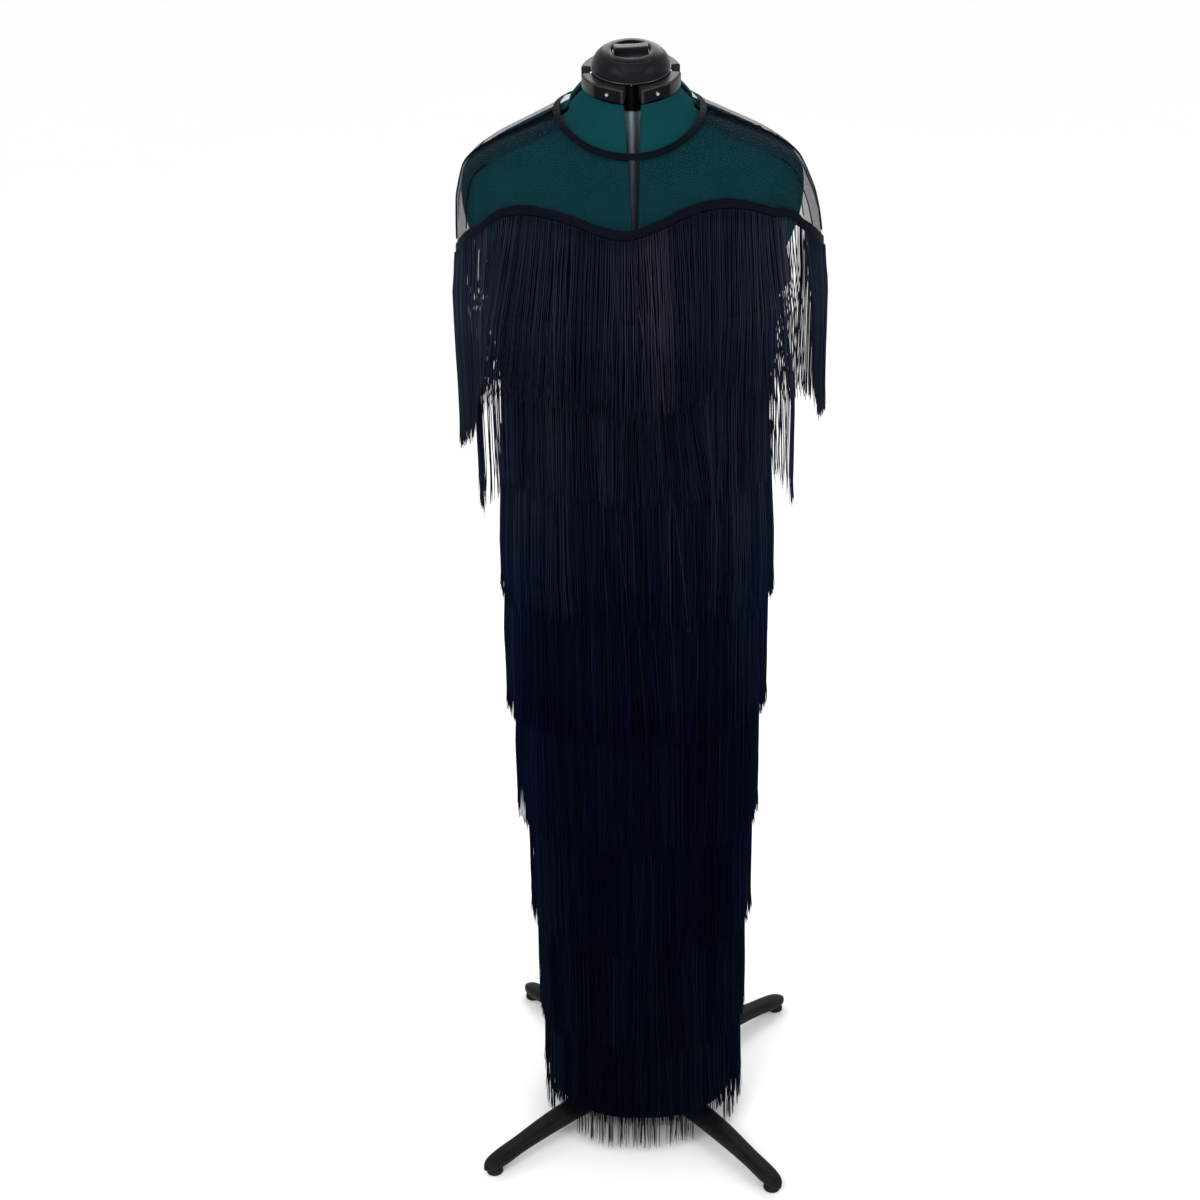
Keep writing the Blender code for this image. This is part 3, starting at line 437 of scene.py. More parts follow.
# The tube: z, half width, front, back
tubeSections = [
    (0.055, 0.1380, 0.1350, 0.1200),
    (0.237, 0.1415, 0.1340, 0.1210),
    (0.405, 0.1475, 0.1330, 0.1240),
    (0.573, 0.1550, 0.1325, 0.1270),
    (0.741, 0.1620, 0.1320, 0.1300),
    (0.909, 0.1700, 0.1310, 0.1310),
    (0.990, 0.1690, 0.1305, 0.1220),
    (1.077, 0.1680, 0.1310, 0.1080),
    (1.160, 0.1690, 0.1380, 0.1080),
    (1.245, 0.1780, 0.1425, 0.1120),
]
dress = {
    "seamGap": 0.0003,
    "backSeam": (1.3350, 1.3060),
    "armholeStart": math.radians(41),
    "armpitHeight": 1.262,
    "tubeSquare": 2.3,
    "hemHeight": 0.055,
    "bandRise": 0.003,
    "bandDrop": 0.008,
    "bindingHeight": 0.008,
    "tapeHeight": 0.010,
    "topTapeHeight": 0.006,
    "headerTop": 1.243,
    "rowSpacing": 0.168,
    "rowLength": 0.223,
    "rowCount": 7,
    "topRowLength": 0.205,
    "topRowExtraLeft": 0.030,
    "topBendHeight": 1.255,
}
quarterTurn = math.pi / 2


def softRead(table, column, at):
    # a soft curve through one column of a table, read at places along its first column
    places = np.array([row[0] for row in table], float)
    values = np.array([row[column] for row in table], float)
    slopes = np.gradient(values, places)
    at = np.clip(at, places[0], places[-1])
    low = np.clip(np.searchsorted(places, at, side="right") - 1, 0, len(places) - 2)
    width = places[low + 1] - places[low]
    t = (at - places[low]) / width
    a, b = values[low], values[low + 1]
    rise, fall = slopes[low] * width, slopes[low + 1] * width
    return (
        a * (2 * t**3 - 3 * t**2 + 1)
        + rise * (t**3 - 2 * t**2 + t)
        + b * (3 * t**2 - 2 * t**3)
        + fall * (t**3 - t**2)
    )


def ringsAt(rings, at):
    # all columns of a list of sections, at positions along the list
    table = [(i, *row) for i, row in enumerate(rings)]
    return {name: softRead(table, i + 1, at) for i, name in enumerate(ringColumns)}


def signedPower(value, power):
    return np.sign(value) * np.abs(value) ** power


def ringPlan(section, angle):
    # angle 0 is the centre front and a quarter turn is +X
    power = 2.0 / section["square"]
    depth = np.where(np.cos(angle) > 0, section["front"], section["back"])
    x = section["shift"] + section["halfWidth"] * signedPower(np.sin(angle), power)
    return x, -depth * signedPower(np.cos(angle), power)


def ringHeight(section, angle):
    along = np.cos(angle)
    tilt = (section["zFront"] - section["zBack"]) / 2
    dip = (section["zFront"] + section["zBack"]) / 2 - section["zSide"]
    return section["zSide"] + tilt * along + dip * along * along


def outwardOf(section, angle):
    # level outward direction of a section
    step = math.radians(0.5)
    aheadX, aheadY = ringPlan(section, angle + step)
    behindX, behindY = ringPlan(section, angle - step)
    runX, runY = aheadX - behindX, aheadY - behindY
    length = np.hypot(runX, runY)
    return runY / length, -runX / length


def mixed(a, b, share):
    return {name: a[name] + (b[name] - a[name]) * share for name in ringColumns}


def yokePoint(at, angle):
    section = ringsAt(yokeRings, at)
    x, y = ringPlan(section, angle)
    return np.stack([x, y, ringHeight(section, angle)], -1)


def seamHeight(angle, x):
    middle, side = dress["backSeam"]
    behind = middle + (side - middle) * np.abs(np.sin(angle)) ** 4
    return np.where(np.cos(angle) > 0, softRead(frontSeam, 1, x), behind)


def hemTable():
    # where the seam line crosses the yoke, every half degree all the way round
    angles = np.radians(np.arange(-90.0, 270.5, 0.5))
    low, high = np.full_like(angles, 3.0), np.full_like(angles, 6.0)
    for _ in range(30):
        middle = (low + high) / 2
        point = yokePoint(middle, angles)
        above = point[:, 2] > seamHeight(angles, point[:, 0])
        low = np.where(above, middle, low)
        high = np.where(above, high, middle)
    return angles, (low + high) / 2


hemAngles, hemPlaces = hemTable()


def hemAt(angle):
    turned = np.mod(angle + quarterTurn, 2 * math.pi) - quarterTurn
    return np.interp(turned, hemAngles, hemPlaces)


def hemRing(angle):
    return ringsAt(yokeRings, hemAt(angle))


def hemHeight(angle):
    return ringHeight(hemRing(angle), angle)


def tubeRing(z):
    found = {name: np.zeros_like(z) for name in ringColumns}
    for name, column in (("halfWidth", 1), ("front", 2), ("back", 3)):
        found[name] = softRead(tubeSections, column, z)
    for name in ("zFront", "zSide", "zBack"):
        found[name] = z
    found["square"] = np.full_like(z, dress["tubeSquare"])
    return found


def tubeTop(angle):
    lean = np.abs(angle - np.round(angle / math.pi) * math.pi)
    share = (lean - dress["armholeStart"]) / (quarterTurn - dress["armholeStart"])
    ease = np.sin(np.clip(share, 0, 1) * quarterTurn) ** 1.2
    seam = hemHeight(angle) - 2 * dress["seamGap"]
    return seam + (dress["armpitHeight"] - seam) * ease


def tubePoint(angle, z):
    # above its first section the tube leans out to the yoke's hem
    first = tubeSections[-1][0]
    share = np.clip((z - first) / (hemHeight(angle) - first), 0, 1)
    section = mixed(tubeRing(np.minimum(z, first)), hemRing(angle), share)
    x, y = ringPlan(section, angle)
    return np.stack([x, y, z], -1)


def coverRing(angle, z, standoff):
    # the tube's or the hem's section, whichever stands further out
    start = tubeSections[-1][0]
    share = np.clip((z - start) / (hemHeight(angle) - start), 0, 1)
    cover = hemRing(angle)
    under = mixed(tubeRing(np.full_like(z, start)), cover, share)
    for side in ("halfWidth", "front", "back"):
        cover[side] = np.maximum(under[side], cover[side]) + standoff
    return cover


def evenAngles(count, start, end):
    # angles that are evenly spaced along a middle section of the tube
    angles = np.linspace(start, end, 2001)
    x, y = ringPlan(tubeRing(np.full_like(angles, 0.9)), angles)
    run = np.concatenate([[0], np.cumsum(np.hypot(np.diff(x), np.diff(y)))])
    return np.interp(np.linspace(0, run[-1], count), run, angles)


# Building helpers
def gridMesh(across, down, size, place, lift=None):
    # a flat grid of size (width, length) that place(u, v) puts where it belongs
    bm = bmesh.new()
    uvLayer = bm.loops.layers.uv.new("UVMap")
    bmesh.ops.create_grid(bm, x_segments=across, y_segments=down, size=0.5)
    for face in bm.faces:
        for loop in face.loops:
            spot = loop.vert.co
            loop[uvLayer].uv = ((spot.x + 0.5) * size[0], (0.5 - spot.y) * size[1])
    u = np.array([vert.co.x + 0.5 for vert in bm.verts])
    v = np.array([0.5 - vert.co.y for vert in bm.verts])
    for vert, point in zip(bm.verts, place(u, v)):
        vert.co = point
    if lift is not None:
        bm.normal_update()
        for vert, height in zip(bm.verts, lift(u, v)):
            vert.co += vert.normal * height
    return bm


def closeMesh(bm):
    # merges a swept section's seam and fills its two ends
    bmesh.ops.remove_doubles(bm, verts=bm.verts[:], dist=1e-6)
    open_ = [edge for edge in bm.edges if edge.is_boundary]
    if open_:
        bmesh.ops.holes_fill(bm, edges=open_, sides=0)
    bmesh.ops.recalc_face_normals(bm, faces=bm.faces[:])


def addPiece(name, bm, materials, body, slotName, *nodes, sharp=None):
    # sharp is the angle in degrees from which an edge stays hard
    data = bpy.data.meshes.new(name)
    bm.to_mesh(data)
    bm.free()
    for material in materials:
        data.materials.append(material)
    data.shade_smooth()
    if sharp:
        data.set_sharp_from_angle(angle=math.radians(sharp))
    piece = addToScene(name, data)
    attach(piece, body)
    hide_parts(*nodes)
    return piece


def takeIn(bm, other):
    # adds another mesh to this one
    data = bpy.data.meshes.new("part")
    other.to_mesh(data)
    other.free()
    bm.from_mesh(data)
    bpy.data.meshes.remove(data)


def moveBy(bm, matrix):
    bmesh.ops.transform(bm, matrix=matrix, verts=bm.verts[:])


def addWall(piece, thickness):
    # gives a sheet its thickness, inwards from its outer face
    shell = piece.modifiers.new("wall", "SOLIDIFY")
    shell.thickness = thickness
    shell.offset = -1.0
    shell.use_even_offset = False
    return shell


def roundedSection(v, halfWidth, halfThick, square=4.0):
    # a rounded strip's section: across its width, and out of it
    turn = 2 * math.pi * v
    across = halfWidth * signedPower(np.cos(turn), 2 / square)
    return across, halfThick * signedPower(np.sin(turn), 2 / square)


def bellAlong(creases, x, y):
    # soft troughs and ridges: from x, y to x, y, then width and height
    total = np.zeros_like(x)
    for x0, y0, x1, y1, width, height in creases:
        dx, dy = x1 - x0, y1 - y0
        along = ((x - x0) * dx + (y - y0) * dy) / (dx * dx + dy * dy)
        near = np.clip(along, 0, 1)
        off = np.hypot(x - x0 - near * dx, y - y0 - near * dy)
        fade = np.sin(np.clip(near, 0.02, 0.98) * math.pi) ** 0.6
        total += height * fade * np.exp(-((off / width) ** 2))
    return total


def softEdge(v, share):
    # 0 at both ends of v, 1 from a share of the way in
    return np.clip(np.minimum(v, 1 - v) / share, 0, 1)


# Yoke: sheer mesh over the shoulders, cut in one with the sleeves
yoke = {
    "wall": 0.0006,
    "across": 128,
    "down": 88,
    "size": (0.640, 0.185),
    "seamRise": 0.0008,
    "seamSink": 0.0019,
    "sinkReach": 0.045,
    "sleeveTurn": math.radians(66),
    "puckerReach": 0.007,
    "puckerLow": 1.37,
    "seamWidth": 0.004,
    "lineRadius": 0.0008,
    "lineSteps": 90,
    "lineRise": 0.0002,
}
# Puckers along the right shoulder seam: x, reach, rise
seamPuckers = [
    (0.098, 0.0050, 0.0010),
    (0.121, 0.0045, 0.0024),
    (0.1405, 0.0040, 0.0030),
    (0.1470, 0.0022, -0.0016),
    (0.1520, 0.0030, 0.0040),
    (0.166, 0.0050, 0.0010),
]
# Creases of each half in its own flat metres, from the left edge and the neck down
yokeFrontCreases = [
    (0.058, 0.092, 0.052, 0.165, 0.011, 0.0030),
    (0.086, 0.090, 0.078, 0.165, 0.008, -0.0012),
    (0.112, 0.080, 0.105, 0.140, 0.007, 0.0014),
    (0.025, 0.090, 0.024, 0.168, 0.009, -0.0026),
    (0.160, 0.050, 0.205, 0.120, 0.010, 0.0010),
    (0.250, 0.030, 0.285, 0.110, 0.011, 0.0010),
    (0.395, 0.028, 0.372, 0.115, 0.010, 0.0011),
    (0.470, 0.048, 0.440, 0.120, 0.012, 0.0010),
    (0.548, 0.092, 0.553, 0.165, 0.009, 0.0026),
    (0.576, 0.090, 0.582, 0.165, 0.008, -0.0016),
    (0.600, 0.094, 0.604, 0.170, 0.010, 0.0034),
    (0.620, 0.090, 0.622, 0.160, 0.007, -0.0022),
    (0.536, 0.006, 0.528, 0.026, 0.003, 0.0026),
    (0.544, 0.004, 0.541, 0.024, 0.003, 0.0030),
    (0.553, 0.004, 0.556, 0.022, 0.003, 0.0024),
]
yokeBackCreases = [
    (0.047, 0.092, 0.044, 0.165, 0.010, 0.0028),
    (0.082, 0.090, 0.090, 0.160, 0.009, -0.0010),
    (0.140, 0.080, 0.150, 0.140, 0.010, 0.0013),
    (0.240, 0.030, 0.270, 0.130, 0.012, 0.0010),
    (0.350, 0.020, 0.322, 0.120, 0.010, 0.0012),
    (0.430, 0.040, 0.455, 0.130, 0.011, 0.0011),
    (0.510, 0.070, 0.506, 0.140, 0.008, 0.0015),
    (0.568, 0.090, 0.574, 0.165, 0.010, 0.0026),
    (0.601, 0.092, 0.606, 0.165, 0.009, -0.0020),
    (0.618, 0.090, 0.620, 0.160, 0.006, 0.0020),
]


def sunk(u, v):
    # over the top of the shoulder the mesh lies close to the form
    beside = np.minimum(u, 1 - u) * yoke["size"][0]
    over = np.clip(v / 0.10, 0, 1) * np.clip((0.75 - v) / 0.15, 0, 1)
    return yoke["seamSink"] * over * np.exp(-((beside / yoke["sinkReach"]) ** 2))


def puckered(point):
    # raises the gathered seam, and less of the mesh beside it
    near = np.exp(-((point[:, 1] / yoke["puckerReach"]) ** 2)) * (point[:, 2] > yoke["puckerLow"])
    for x, reach, rise in seamPuckers:
        point[:, 2] += near * rise * np.exp(-(((point[:, 0] - x) / reach) ** 2))
    return point


def makeYokeHalf(name, node, start, creases, seamSign):
    def place(u, v):
        angle = start + u * math.pi
        at = v * hemAt(angle)
        point = puckered(yokePoint(at, angle))
        edge = np.clip(1 - np.minimum(u, 1 - u) * yoke["across"], 0, 1)
        point[:, 1] += seamSign * edge * dress["seamGap"] / 2
        return point

    def lift(u, v):
        x, y = u * yoke["size"][0], v * yoke["size"][1]
        seam = np.exp(-((np.minimum(u, 1 - u) * yoke["size"][0] / yoke["seamWidth"]) ** 2))
        folds = bellAlong(creases, x, y) * softEdge(v, 0.10) * softEdge(u, 0.02)
        return folds + yoke["seamRise"] * seam * softEdge(v, 0.06) - sunk(u, v)

    bm = gridMesh(yoke["across"], yoke["down"], yoke["size"], place, lift)
    uvLayer = bm.loops.layers.uv.active
    edge = (0.5 - yoke["sleeveTurn"] / math.pi) * yoke["size"][0]
    for face in bm.faces:
        along = sum(loop[uvLayer].uv.x for loop in face.loops) / 4
        face.material_index = int(min(along, yoke["size"][0] - along) < edge)
    piece = addPiece(name, bm, [sheerMesh, sleeveMesh], "form", "sheer_mesh", node)
    addWall(piece, yoke["wall"])
    return piece


yokeFront = makeYokeHalf(
    "yokeFront", "yoke_and_sleeve_front", -quarterTurn, yokeFrontCreases, -1
)
yokeBack = makeYokeHalf(
    "yokeBack", "yoke_and_sleeve_back", quarterTurn, yokeBackCreases, 1
)
print("yoke: two halves of sheer mesh")


# Neck binding and the band over the seam
trim = {
    "bindingThick": 0.0016,
    "bandThick": 0.0019,
    "bandStandoff": 0.0004,
    "bindingStandoff": 0.0005,
    "bindingPuff": 0.22,
    "bandRipple": (0.0003, 0.0002),
    "steps": 220,
    "round": 14,
}


def makeNeckBinding():
    def place(u, v):
        angle = -quarterTurn + u * 2 * math.pi
        top = yokePoint(np.zeros_like(u), angle)
        fall = yokePoint(np.full_like(u, 0.25), angle) - top
        fall /= np.linalg.norm(fall, axis=1)[:, None]
        outX, outY = outwardOf(ringsAt(yokeRings, np.zeros_like(u)), angle)
        across = np.stack([outX, outY, np.zeros_like(u)], -1)
        normal = across - fall * np.sum(across * fall, 1)[:, None]
        normal /= np.linalg.norm(normal, axis=1)[:, None]
        down, out = roundedSection(v, dress["bindingHeight"] / 2 + 0.0002, trim["bindingThick"] / 2)
        middle = dress["bindingHeight"] / 2
        puff = trim["bindingPuff"] * np.sin(angle * 61)
        rise = trim["bindingStandoff"] + trim["bindingThick"] / 2
        return top + fall * (middle + down)[:, None] + normal * (rise + out * (1 + puff))[:, None]

    bm = gridMesh(trim["steps"], trim["round"], (0.52, 0.018), place)
    closeMesh(bm)
    return addPiece("neckBinding", bm, [trimBlack], "form", "black_trim", "neck_binding")


def makeBand(name, node, start, sign):
    def place(u, v):
        angle = start + u * math.pi
        at = hemAt(angle)
        hem = yokePoint(at, angle)
        slope = yokePoint(at - 0.2, angle) - hem
        outX, outY = outwardOf(ringsAt(yokeRings, at), angle)
        away = np.stack([outX, outY, np.zeros_like(u)], -1)
        top = hem + slope * (dress["bandRise"] / slope[:, 2])[:, None]
        lowZ = hem[:, 2] - dress["bandDrop"]
        lowX, lowY = ringPlan(coverRing(angle, lowZ, 0.0), angle)
        low = np.stack([lowX, lowY, lowZ], -1)
        down, out = roundedSection(v, 1.0, trim["bandThick"] / 2)
        long, short = trim["bandRipple"]
        ripple = long * np.sin(angle * 47) + short * np.sin(angle * 90 + 1)
        line = (top + low) / 2 + (low - top) / 2 * down[:, None]
        rise = trim["bandStandoff"] + trim["bandThick"] / 2
        line[:, 2] += ripple
        line[:, 1] += sign * dress["seamGap"] * ((u < 1e-6) | (u > 1 - 1e-6))
        return line + away * (rise + out)[:, None]

    bm = gridMesh(trim["steps"], trim["round"], (0.66, 0.026), place)
    closeMesh(bm)
    return addPiece(name, bm, [trimBlack], "form", "black_trim", node)


neckBinding = makeNeckBinding()
yokeBandFront = makeBand("yokeBandFront", "yoke_band_front", -quarterTurn, -1)
yokeBandBack = makeBand("yokeBandBack", "yoke_band_back", quarterTurn, 1)
print("trim: neck binding and yoke bands")

# Body: the black tube under the fringe
body = {
    "wall": 0.0010,
    "across": 110,
    "down": 120,
    "size": (0.475, 1.290),
}
# Creases of each half in flat metres: the cloth drops in soft folds from bust and hip
bodyFrontCreases = [
    (0.060, 0.20, 0.075, 0.62, 0.016, -0.0030),
    (0.120, 0.40, 0.112, 1.20, 0.020, -0.0035),
    (0.175, 0.62, 0.185, 1.28, 0.018, 0.0004),
    (0.236, 0.30, 0.230, 1.27, 0.022, -0.0040),
    (0.300, 0.52, 0.310, 1.25, 0.018, -0.0025),
    (0.352, 0.26, 0.345, 0.90, 0.016, -0.0032),
    (0.405, 0.44, 0.415, 1.27, 0.020, -0.0036),
    (0.446, 0.22, 0.440, 0.70, 0.012, -0.0020),
]
bodyBackCreases = [
    (0.050, 0.24, 0.060, 0.90, 0.015, -0.0026),
    (0.105, 0.46, 0.098, 1.26, 0.020, -0.0036),
    (0.170, 0.25, 0.180, 0.48, 0.014, -0.0030),
    (0.205, 0.60, 0.200, 1.28, 0.018, -0.0024),
    (0.262, 0.36, 0.270, 1.24, 0.021, -0.0040),
    (0.330, 0.56, 0.322, 1.28, 0.017, -0.0028),
    (0.395, 0.28, 0.400, 1.10, 0.019, -0.0034),
]


def makeBodyHalf(name, node, start, creases, sign):
    def place(u, v):
        angle = np.interp(u, np.linspace(0, 1, 241), evenAngles(241, start, start + math.pi))
        top = tubeTop(angle)
        z = top + (dress["hemHeight"] - top) * v
        point = tubePoint(angle, z)
        edge = (u < 1e-6) | (u > 1 - 1e-6)
        point[:, 1] += sign * edge * dress["seamGap"] / 2
        return point

    def lift(u, v):
        x, y = u * body["size"][0], v * body["size"][1]
        return bellAlong(creases, x, y) * np.clip(v / 0.05, 0, 1) * softEdge(u, 0.03)

    bm = gridMesh(body["across"], body["down"], body["size"], place, lift)
    piece = addPiece(name, bm, [clothBlack], "form", "black_cloth", node)
    addWall(piece, body["wall"])
    return piece


bodyFront = makeBodyHalf("bodyFront", "body_front", -quarterTurn, bodyFrontCreases, -1)
bodyBack = makeBodyHalf("bodyBack", "body_back", quarterTurn, bodyBackCreases, 1)
print("body: two halves of the tube")

# Fringe: every row hangs from a woven tape as single twisted strands
fringe = {
    "strandsHalf": 470,
    "strandsRow": 900,
    "radius": 0.00066,
    "points": 14,
    "perRadian": 0.152,
    "jitter": 0.25,
    "uneven": 0.0045,
    "wave": 0.005,
    "wavePitch": 0.022,
    "freeDrop": 0.20,
    "clumpPitch": 0.0085,
    "clumpShift": 0.0026,
    "sway": 0.0008,
    "swayPitch": 0.055,
    "swayPhase": 37.0,
    "layerStep": 0.0010,
    "layerLoose": 0.0005,
    "strayShare": 0.06,
    "strayShift": 0.007,
    "ridge": 0.0020,
    "ridgeReach": 0.013,
    "ridgeDrop": 0.004,
    "sideFlare": 0.021,
    "leftFlare": 0.006,
    "sideLonger": 0.045,
    "hemShort": 0.040,
    "hemShortShare": 0.55,
    "flick": 0.0030,
    "legClear": 0.0270,
    "overLeg": 0.0470,
    "overLegLoose": 0.004,
    "lowest": 0.0060,
    "tapeThick": 0.0009,
    "rootLift": 0.0009,
    "rootReach": 0.020,
    "topTape": 0.0030,
    "topStandoff": (0.0009, 0.0060),
    "armCalm": 0.90,
    "toneBase": 0.22,
    "toneOwn": 0.55,
    "tonePatch": 0.22,
    "patchPitch": 0.030,
    # painted glints: the share of strands coloured lighter, and by how much
    "paintedGlintShare": 0.14,
    "paintedGlintLift": 0.40,
    "legTurn": math.radians(6.5),
}
# Share of strands that are there: degrees round the dress from the centre front, share
topKept = [
    (-90, 0.85), (-66, 1.0), (-60, 0.84), (-50, 0.80), (-46, 1.0), (45, 1.0), (49, 0.45),
    (52, 0.16), (56, 0.16), (59, 1.0), (71, 1.0), (74, 0.66), (90, 0.58), (106, 0.66),
    (109, 1.0), (117, 1.0), (120, 0.16), (127, 0.16), (131, 1.0), (217, 1.0), (223, 0.84),
    (236, 0.84), (243, 1.0), (270, 0.85),
]
chestKept = [
    (-90, 0.26), (-72, 0.30), (-62, 1.0), (62, 1.0), (72, 0.26), (90, 0.20), (108, 0.26),
    (118, 1.0), (242, 1.0), (252, 0.30), (270, 0.26),
]
sideKept = [
    (-90, 0.36), (-80, 0.45), (-70, 1.0), (70, 1.0), (80, 0.42), (90, 0.30), (100, 0.42),
    (110, 1.0), (250, 1.0), (260, 0.48), (270, 0.36),
]
# How far strands stand off the tube: drop below the tape, stand-off
standoffTable = [(0.0, 0.0007), (0.060, 0.0030), (0.150, 0.0068), (0.400, 0.0068)]


def readTable(table, at):
    places, values = zip(*table)
    return np.interp(at, places, values)


def softNoise(x, seed):
    # smooth noise from -1 to 1 along x, one bump for each unit
    values = np.random.default_rng(seed).uniform(-1, 1, 4096)
    low = np.floor(x).astype(int)
    t = x - low
    t = t * t * (3 - 2 * t)
    return values[low % 4096] * (1 - t) + values[(low + 1) % 4096] * t


def combShift(combing, place, drop):
    # where hands or the bust have combed the strands aside: place, width, sideways at the tips
    total = np.zeros_like(place * drop)
    for centre, width, shift in combing:
        total += shift * np.exp(-(((place - centre) / width) ** 2)) * drop**1.1
    return total


def hangTable(header):
    # half width, front and back of a row's inner side at each drop: it never swings back in
    drops = np.linspace(0, 0.26, 53)
    section = tubeRing(np.maximum(header - drops, dress["hemHeight"]))
    away = readTable(standoffTable, drops)
    sides = ("halfWidth", "front", "back")
    return drops, {side: np.maximum.accumulate(section[side] + away) for side in sides}


def addThreads(name, points, outward, radius, tone, material, slotName, *nodes):
    # three-sided tubes round points[strand, step], joined into one piece
    count, steps = points.shape[:2]
    run = np.gradient(points, axis=1)
    run /= np.linalg.norm(run, axis=2)[..., None]
    side = np.cross(run, outward)
    side /= np.linalg.norm(side, axis=2)[..., None]
    front = np.cross(side, run)
    width = np.full((count, steps, 1), radius)
    width[:, -1] *= 0.45
    width[:, 0] *= 0.7
    turns = [math.radians(t) for t in (90, 210, 330)]
    rings = [points + width * (math.cos(t) * side + math.sin(t) * front) for t in turns]
    verts = np.stack(rings, axis=2).reshape(-1, 3)
    index = np.arange(count * steps * 3).reshape(count, steps, 3)
    faces = []
    for k, m in ((0, 1), (1, 2), (2, 0)):
        quads = [index[:, :-1, k], index[:, :-1, m], index[:, 1:, m], index[:, 1:, k]]
        faces += np.stack(quads, -1).reshape(-1, 4).tolist()
    faces += index[:, 0, ::-1].tolist()
    faces += index[:, -1, :].tolist()
    data = bpy.data.meshes.new(name)
    data.from_pydata(verts.tolist(), [], faces)
    along = np.cumsum(np.linalg.norm(np.diff(points, axis=1), axis=2), axis=1)
    uvPlace = np.zeros((count, steps, 3, 2))
    uvPlace[..., 0] = np.array([0, 0.0013, 0.0026])
    uvPlace[:, 1:, :, 1] = along[..., None]
    uvPlace = uvPlace.reshape(-1, 2)
    corner = np.zeros(len(data.loops), np.int32)
    data.loops.foreach_get("vertex_index", corner)
    layer = data.uv_layers.new(name="UVMap")
    layer.data.foreach_set("uv", uvPlace[corner].astype(np.float32).ravel())
    shade = data.attributes.new("tone", "FLOAT", "POINT")
    shade.data.foreach_set("value", np.repeat(tone, steps * 3).astype(np.float32))
    data.materials.append(material)
    data.shade_smooth()
    piece = addToScene(name, data)
    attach(piece, "form")
    if nodes:
        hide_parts(*nodes)
    return piece


def legDirections():
    turns = [math.radians(45 + 90 * i) - fringe["legTurn"] for i in range(4)]
    return [(math.cos(t), math.sin(t)) for t in turns]


def clearOfLegs(x, y, tip):
    # strands over a leg end above it
    found = np.maximum(tip, fringe["lowest"])
    for dx, dy in legDirections():
        along = x * dx + y * dy
        across = np.abs(-x * dy + y * dx)
        over = (along > 0) & (across < fringe["legClear"])
        above = fringe["overLeg"] + fringe["overLegLoose"] * dice.random(x.shape)
        found = np.where(over, np.maximum(found, above), found)
    return found


def strandTones(count, place, seed):
    own = dice.random(count) * fringe["toneOwn"]
    patch = softNoise(place / fringe["patchPitch"], seed) * fringe["tonePatch"]
    return np.clip(fringe["toneBase"] + own + patch, 0, 1)


def strandAngles(start, end, count, kept):
    # sleeves and sides carry fewer strands than the front and back
    places = np.linspace(0, 1, count) + dice.normal(0, fringe["jitter"] / count, count)
    angles = np.interp(places, np.linspace(0, 1, 1201), evenAngles(1201, start, end))
    if kept is None:
        return angles
    return angles[dice.random(count) < readTable(kept, np.degrees(angles))]


def layStrands(angles, seed, sectionAt, topOf, lengthOf, combing, ridgeAt):
    # points of every strand: sectionAt(angle, z, drop) gives the section of their inner side
    count = len(angles)
    place = angles * fringe["perRadian"]
    length = lengthOf(angles) + dice.normal(0, fringe["uneven"], count)
    length += fringe["wave"] * softNoise(place / fringe["wavePitch"], seed + 1)
    top = topOf(angles)
    share = np.linspace(0, 1, fringe["points"]) ** 0.9
    tip = top - length
    x, y = ringPlan(sectionAt(angles, tip, length), angles)
    tip = clearOfLegs(x, y, tip)
    z = top[:, None] + (tip - top)[:, None] * share[None, :]
    drop = top[:, None] - z
    free = np.clip(drop / fringe["freeDrop"], 0, 1.2)

    # sideways: clumps, the strand's own sway, strays, and combing
    pull = softNoise(place / fringe["clumpPitch"], seed + 2)[:, None] * free**1.1
    pull = pull * fringe["clumpShift"]
    phase = fringe["swayPhase"] * np.arange(count)[:, None]
    own = softNoise(drop / fringe["swayPitch"] + phase, seed + 3)
    sway = own * fringe["sway"] * np.clip(drop / 0.05, 0, 1)
    stray = dice.random(count) < fringe["strayShare"]
    lean = np.where(stray, dice.normal(0, fringe["strayShift"], count), 0.0)
    # beside the arms they hang straight, so the gaps between them stay open
    beside = np.clip((np.abs(np.sin(angles)) - 0.72) / 0.10, 0, 1)
    calm = 1 - fringe["armCalm"] * beside[:, None]
    aside = (pull + sway + lean[:, None] * free**1.2) * calm
    aside = aside + combShift(combing, place[:, None], free)
    turned = angles[:, None] + aside / fringe["perRadian"]

    # outwards: two layers, strays on top, lifted at the root and over the next row's tape
    section = sectionAt(turned, z, drop)
    x, y = ringPlan(section, turned)
    outX, outY = outwardOf(section, turned)
    loose = dice.uniform(0, fringe["layerLoose"], count)
    depth = fringe["radius"] + (fringe["layerStep"] * (np.arange(count) % 2) + loose)[:, None]
    depth = depth + 0.0005 * own + np.clip(stray[:, None] * free, 0, 1) * 0.0008
    depth = depth + fringe["rootLift"] * np.clip(1 - drop / fringe["rootReach"], 0, 1)
    ridge = fringe["ridge"] * np.exp(-(((z - ridgeAt) / fringe["ridgeReach"]) ** 2))
    depth = depth + ridge * np.clip(np.abs(np.cos(angles))[:, None] * 3 - 1, 0, 1)
    flick = fringe["flick"] * dice.random(count)[:, None] * np.clip((share - 0.8) / 0.2, 0, 1) ** 2
    outward = np.stack([outX, outY, np.zeros_like(outX)], -1)
    points = np.stack([x, y, z], -1) + outward * (depth + flick)[..., None]
    return points, outward, place


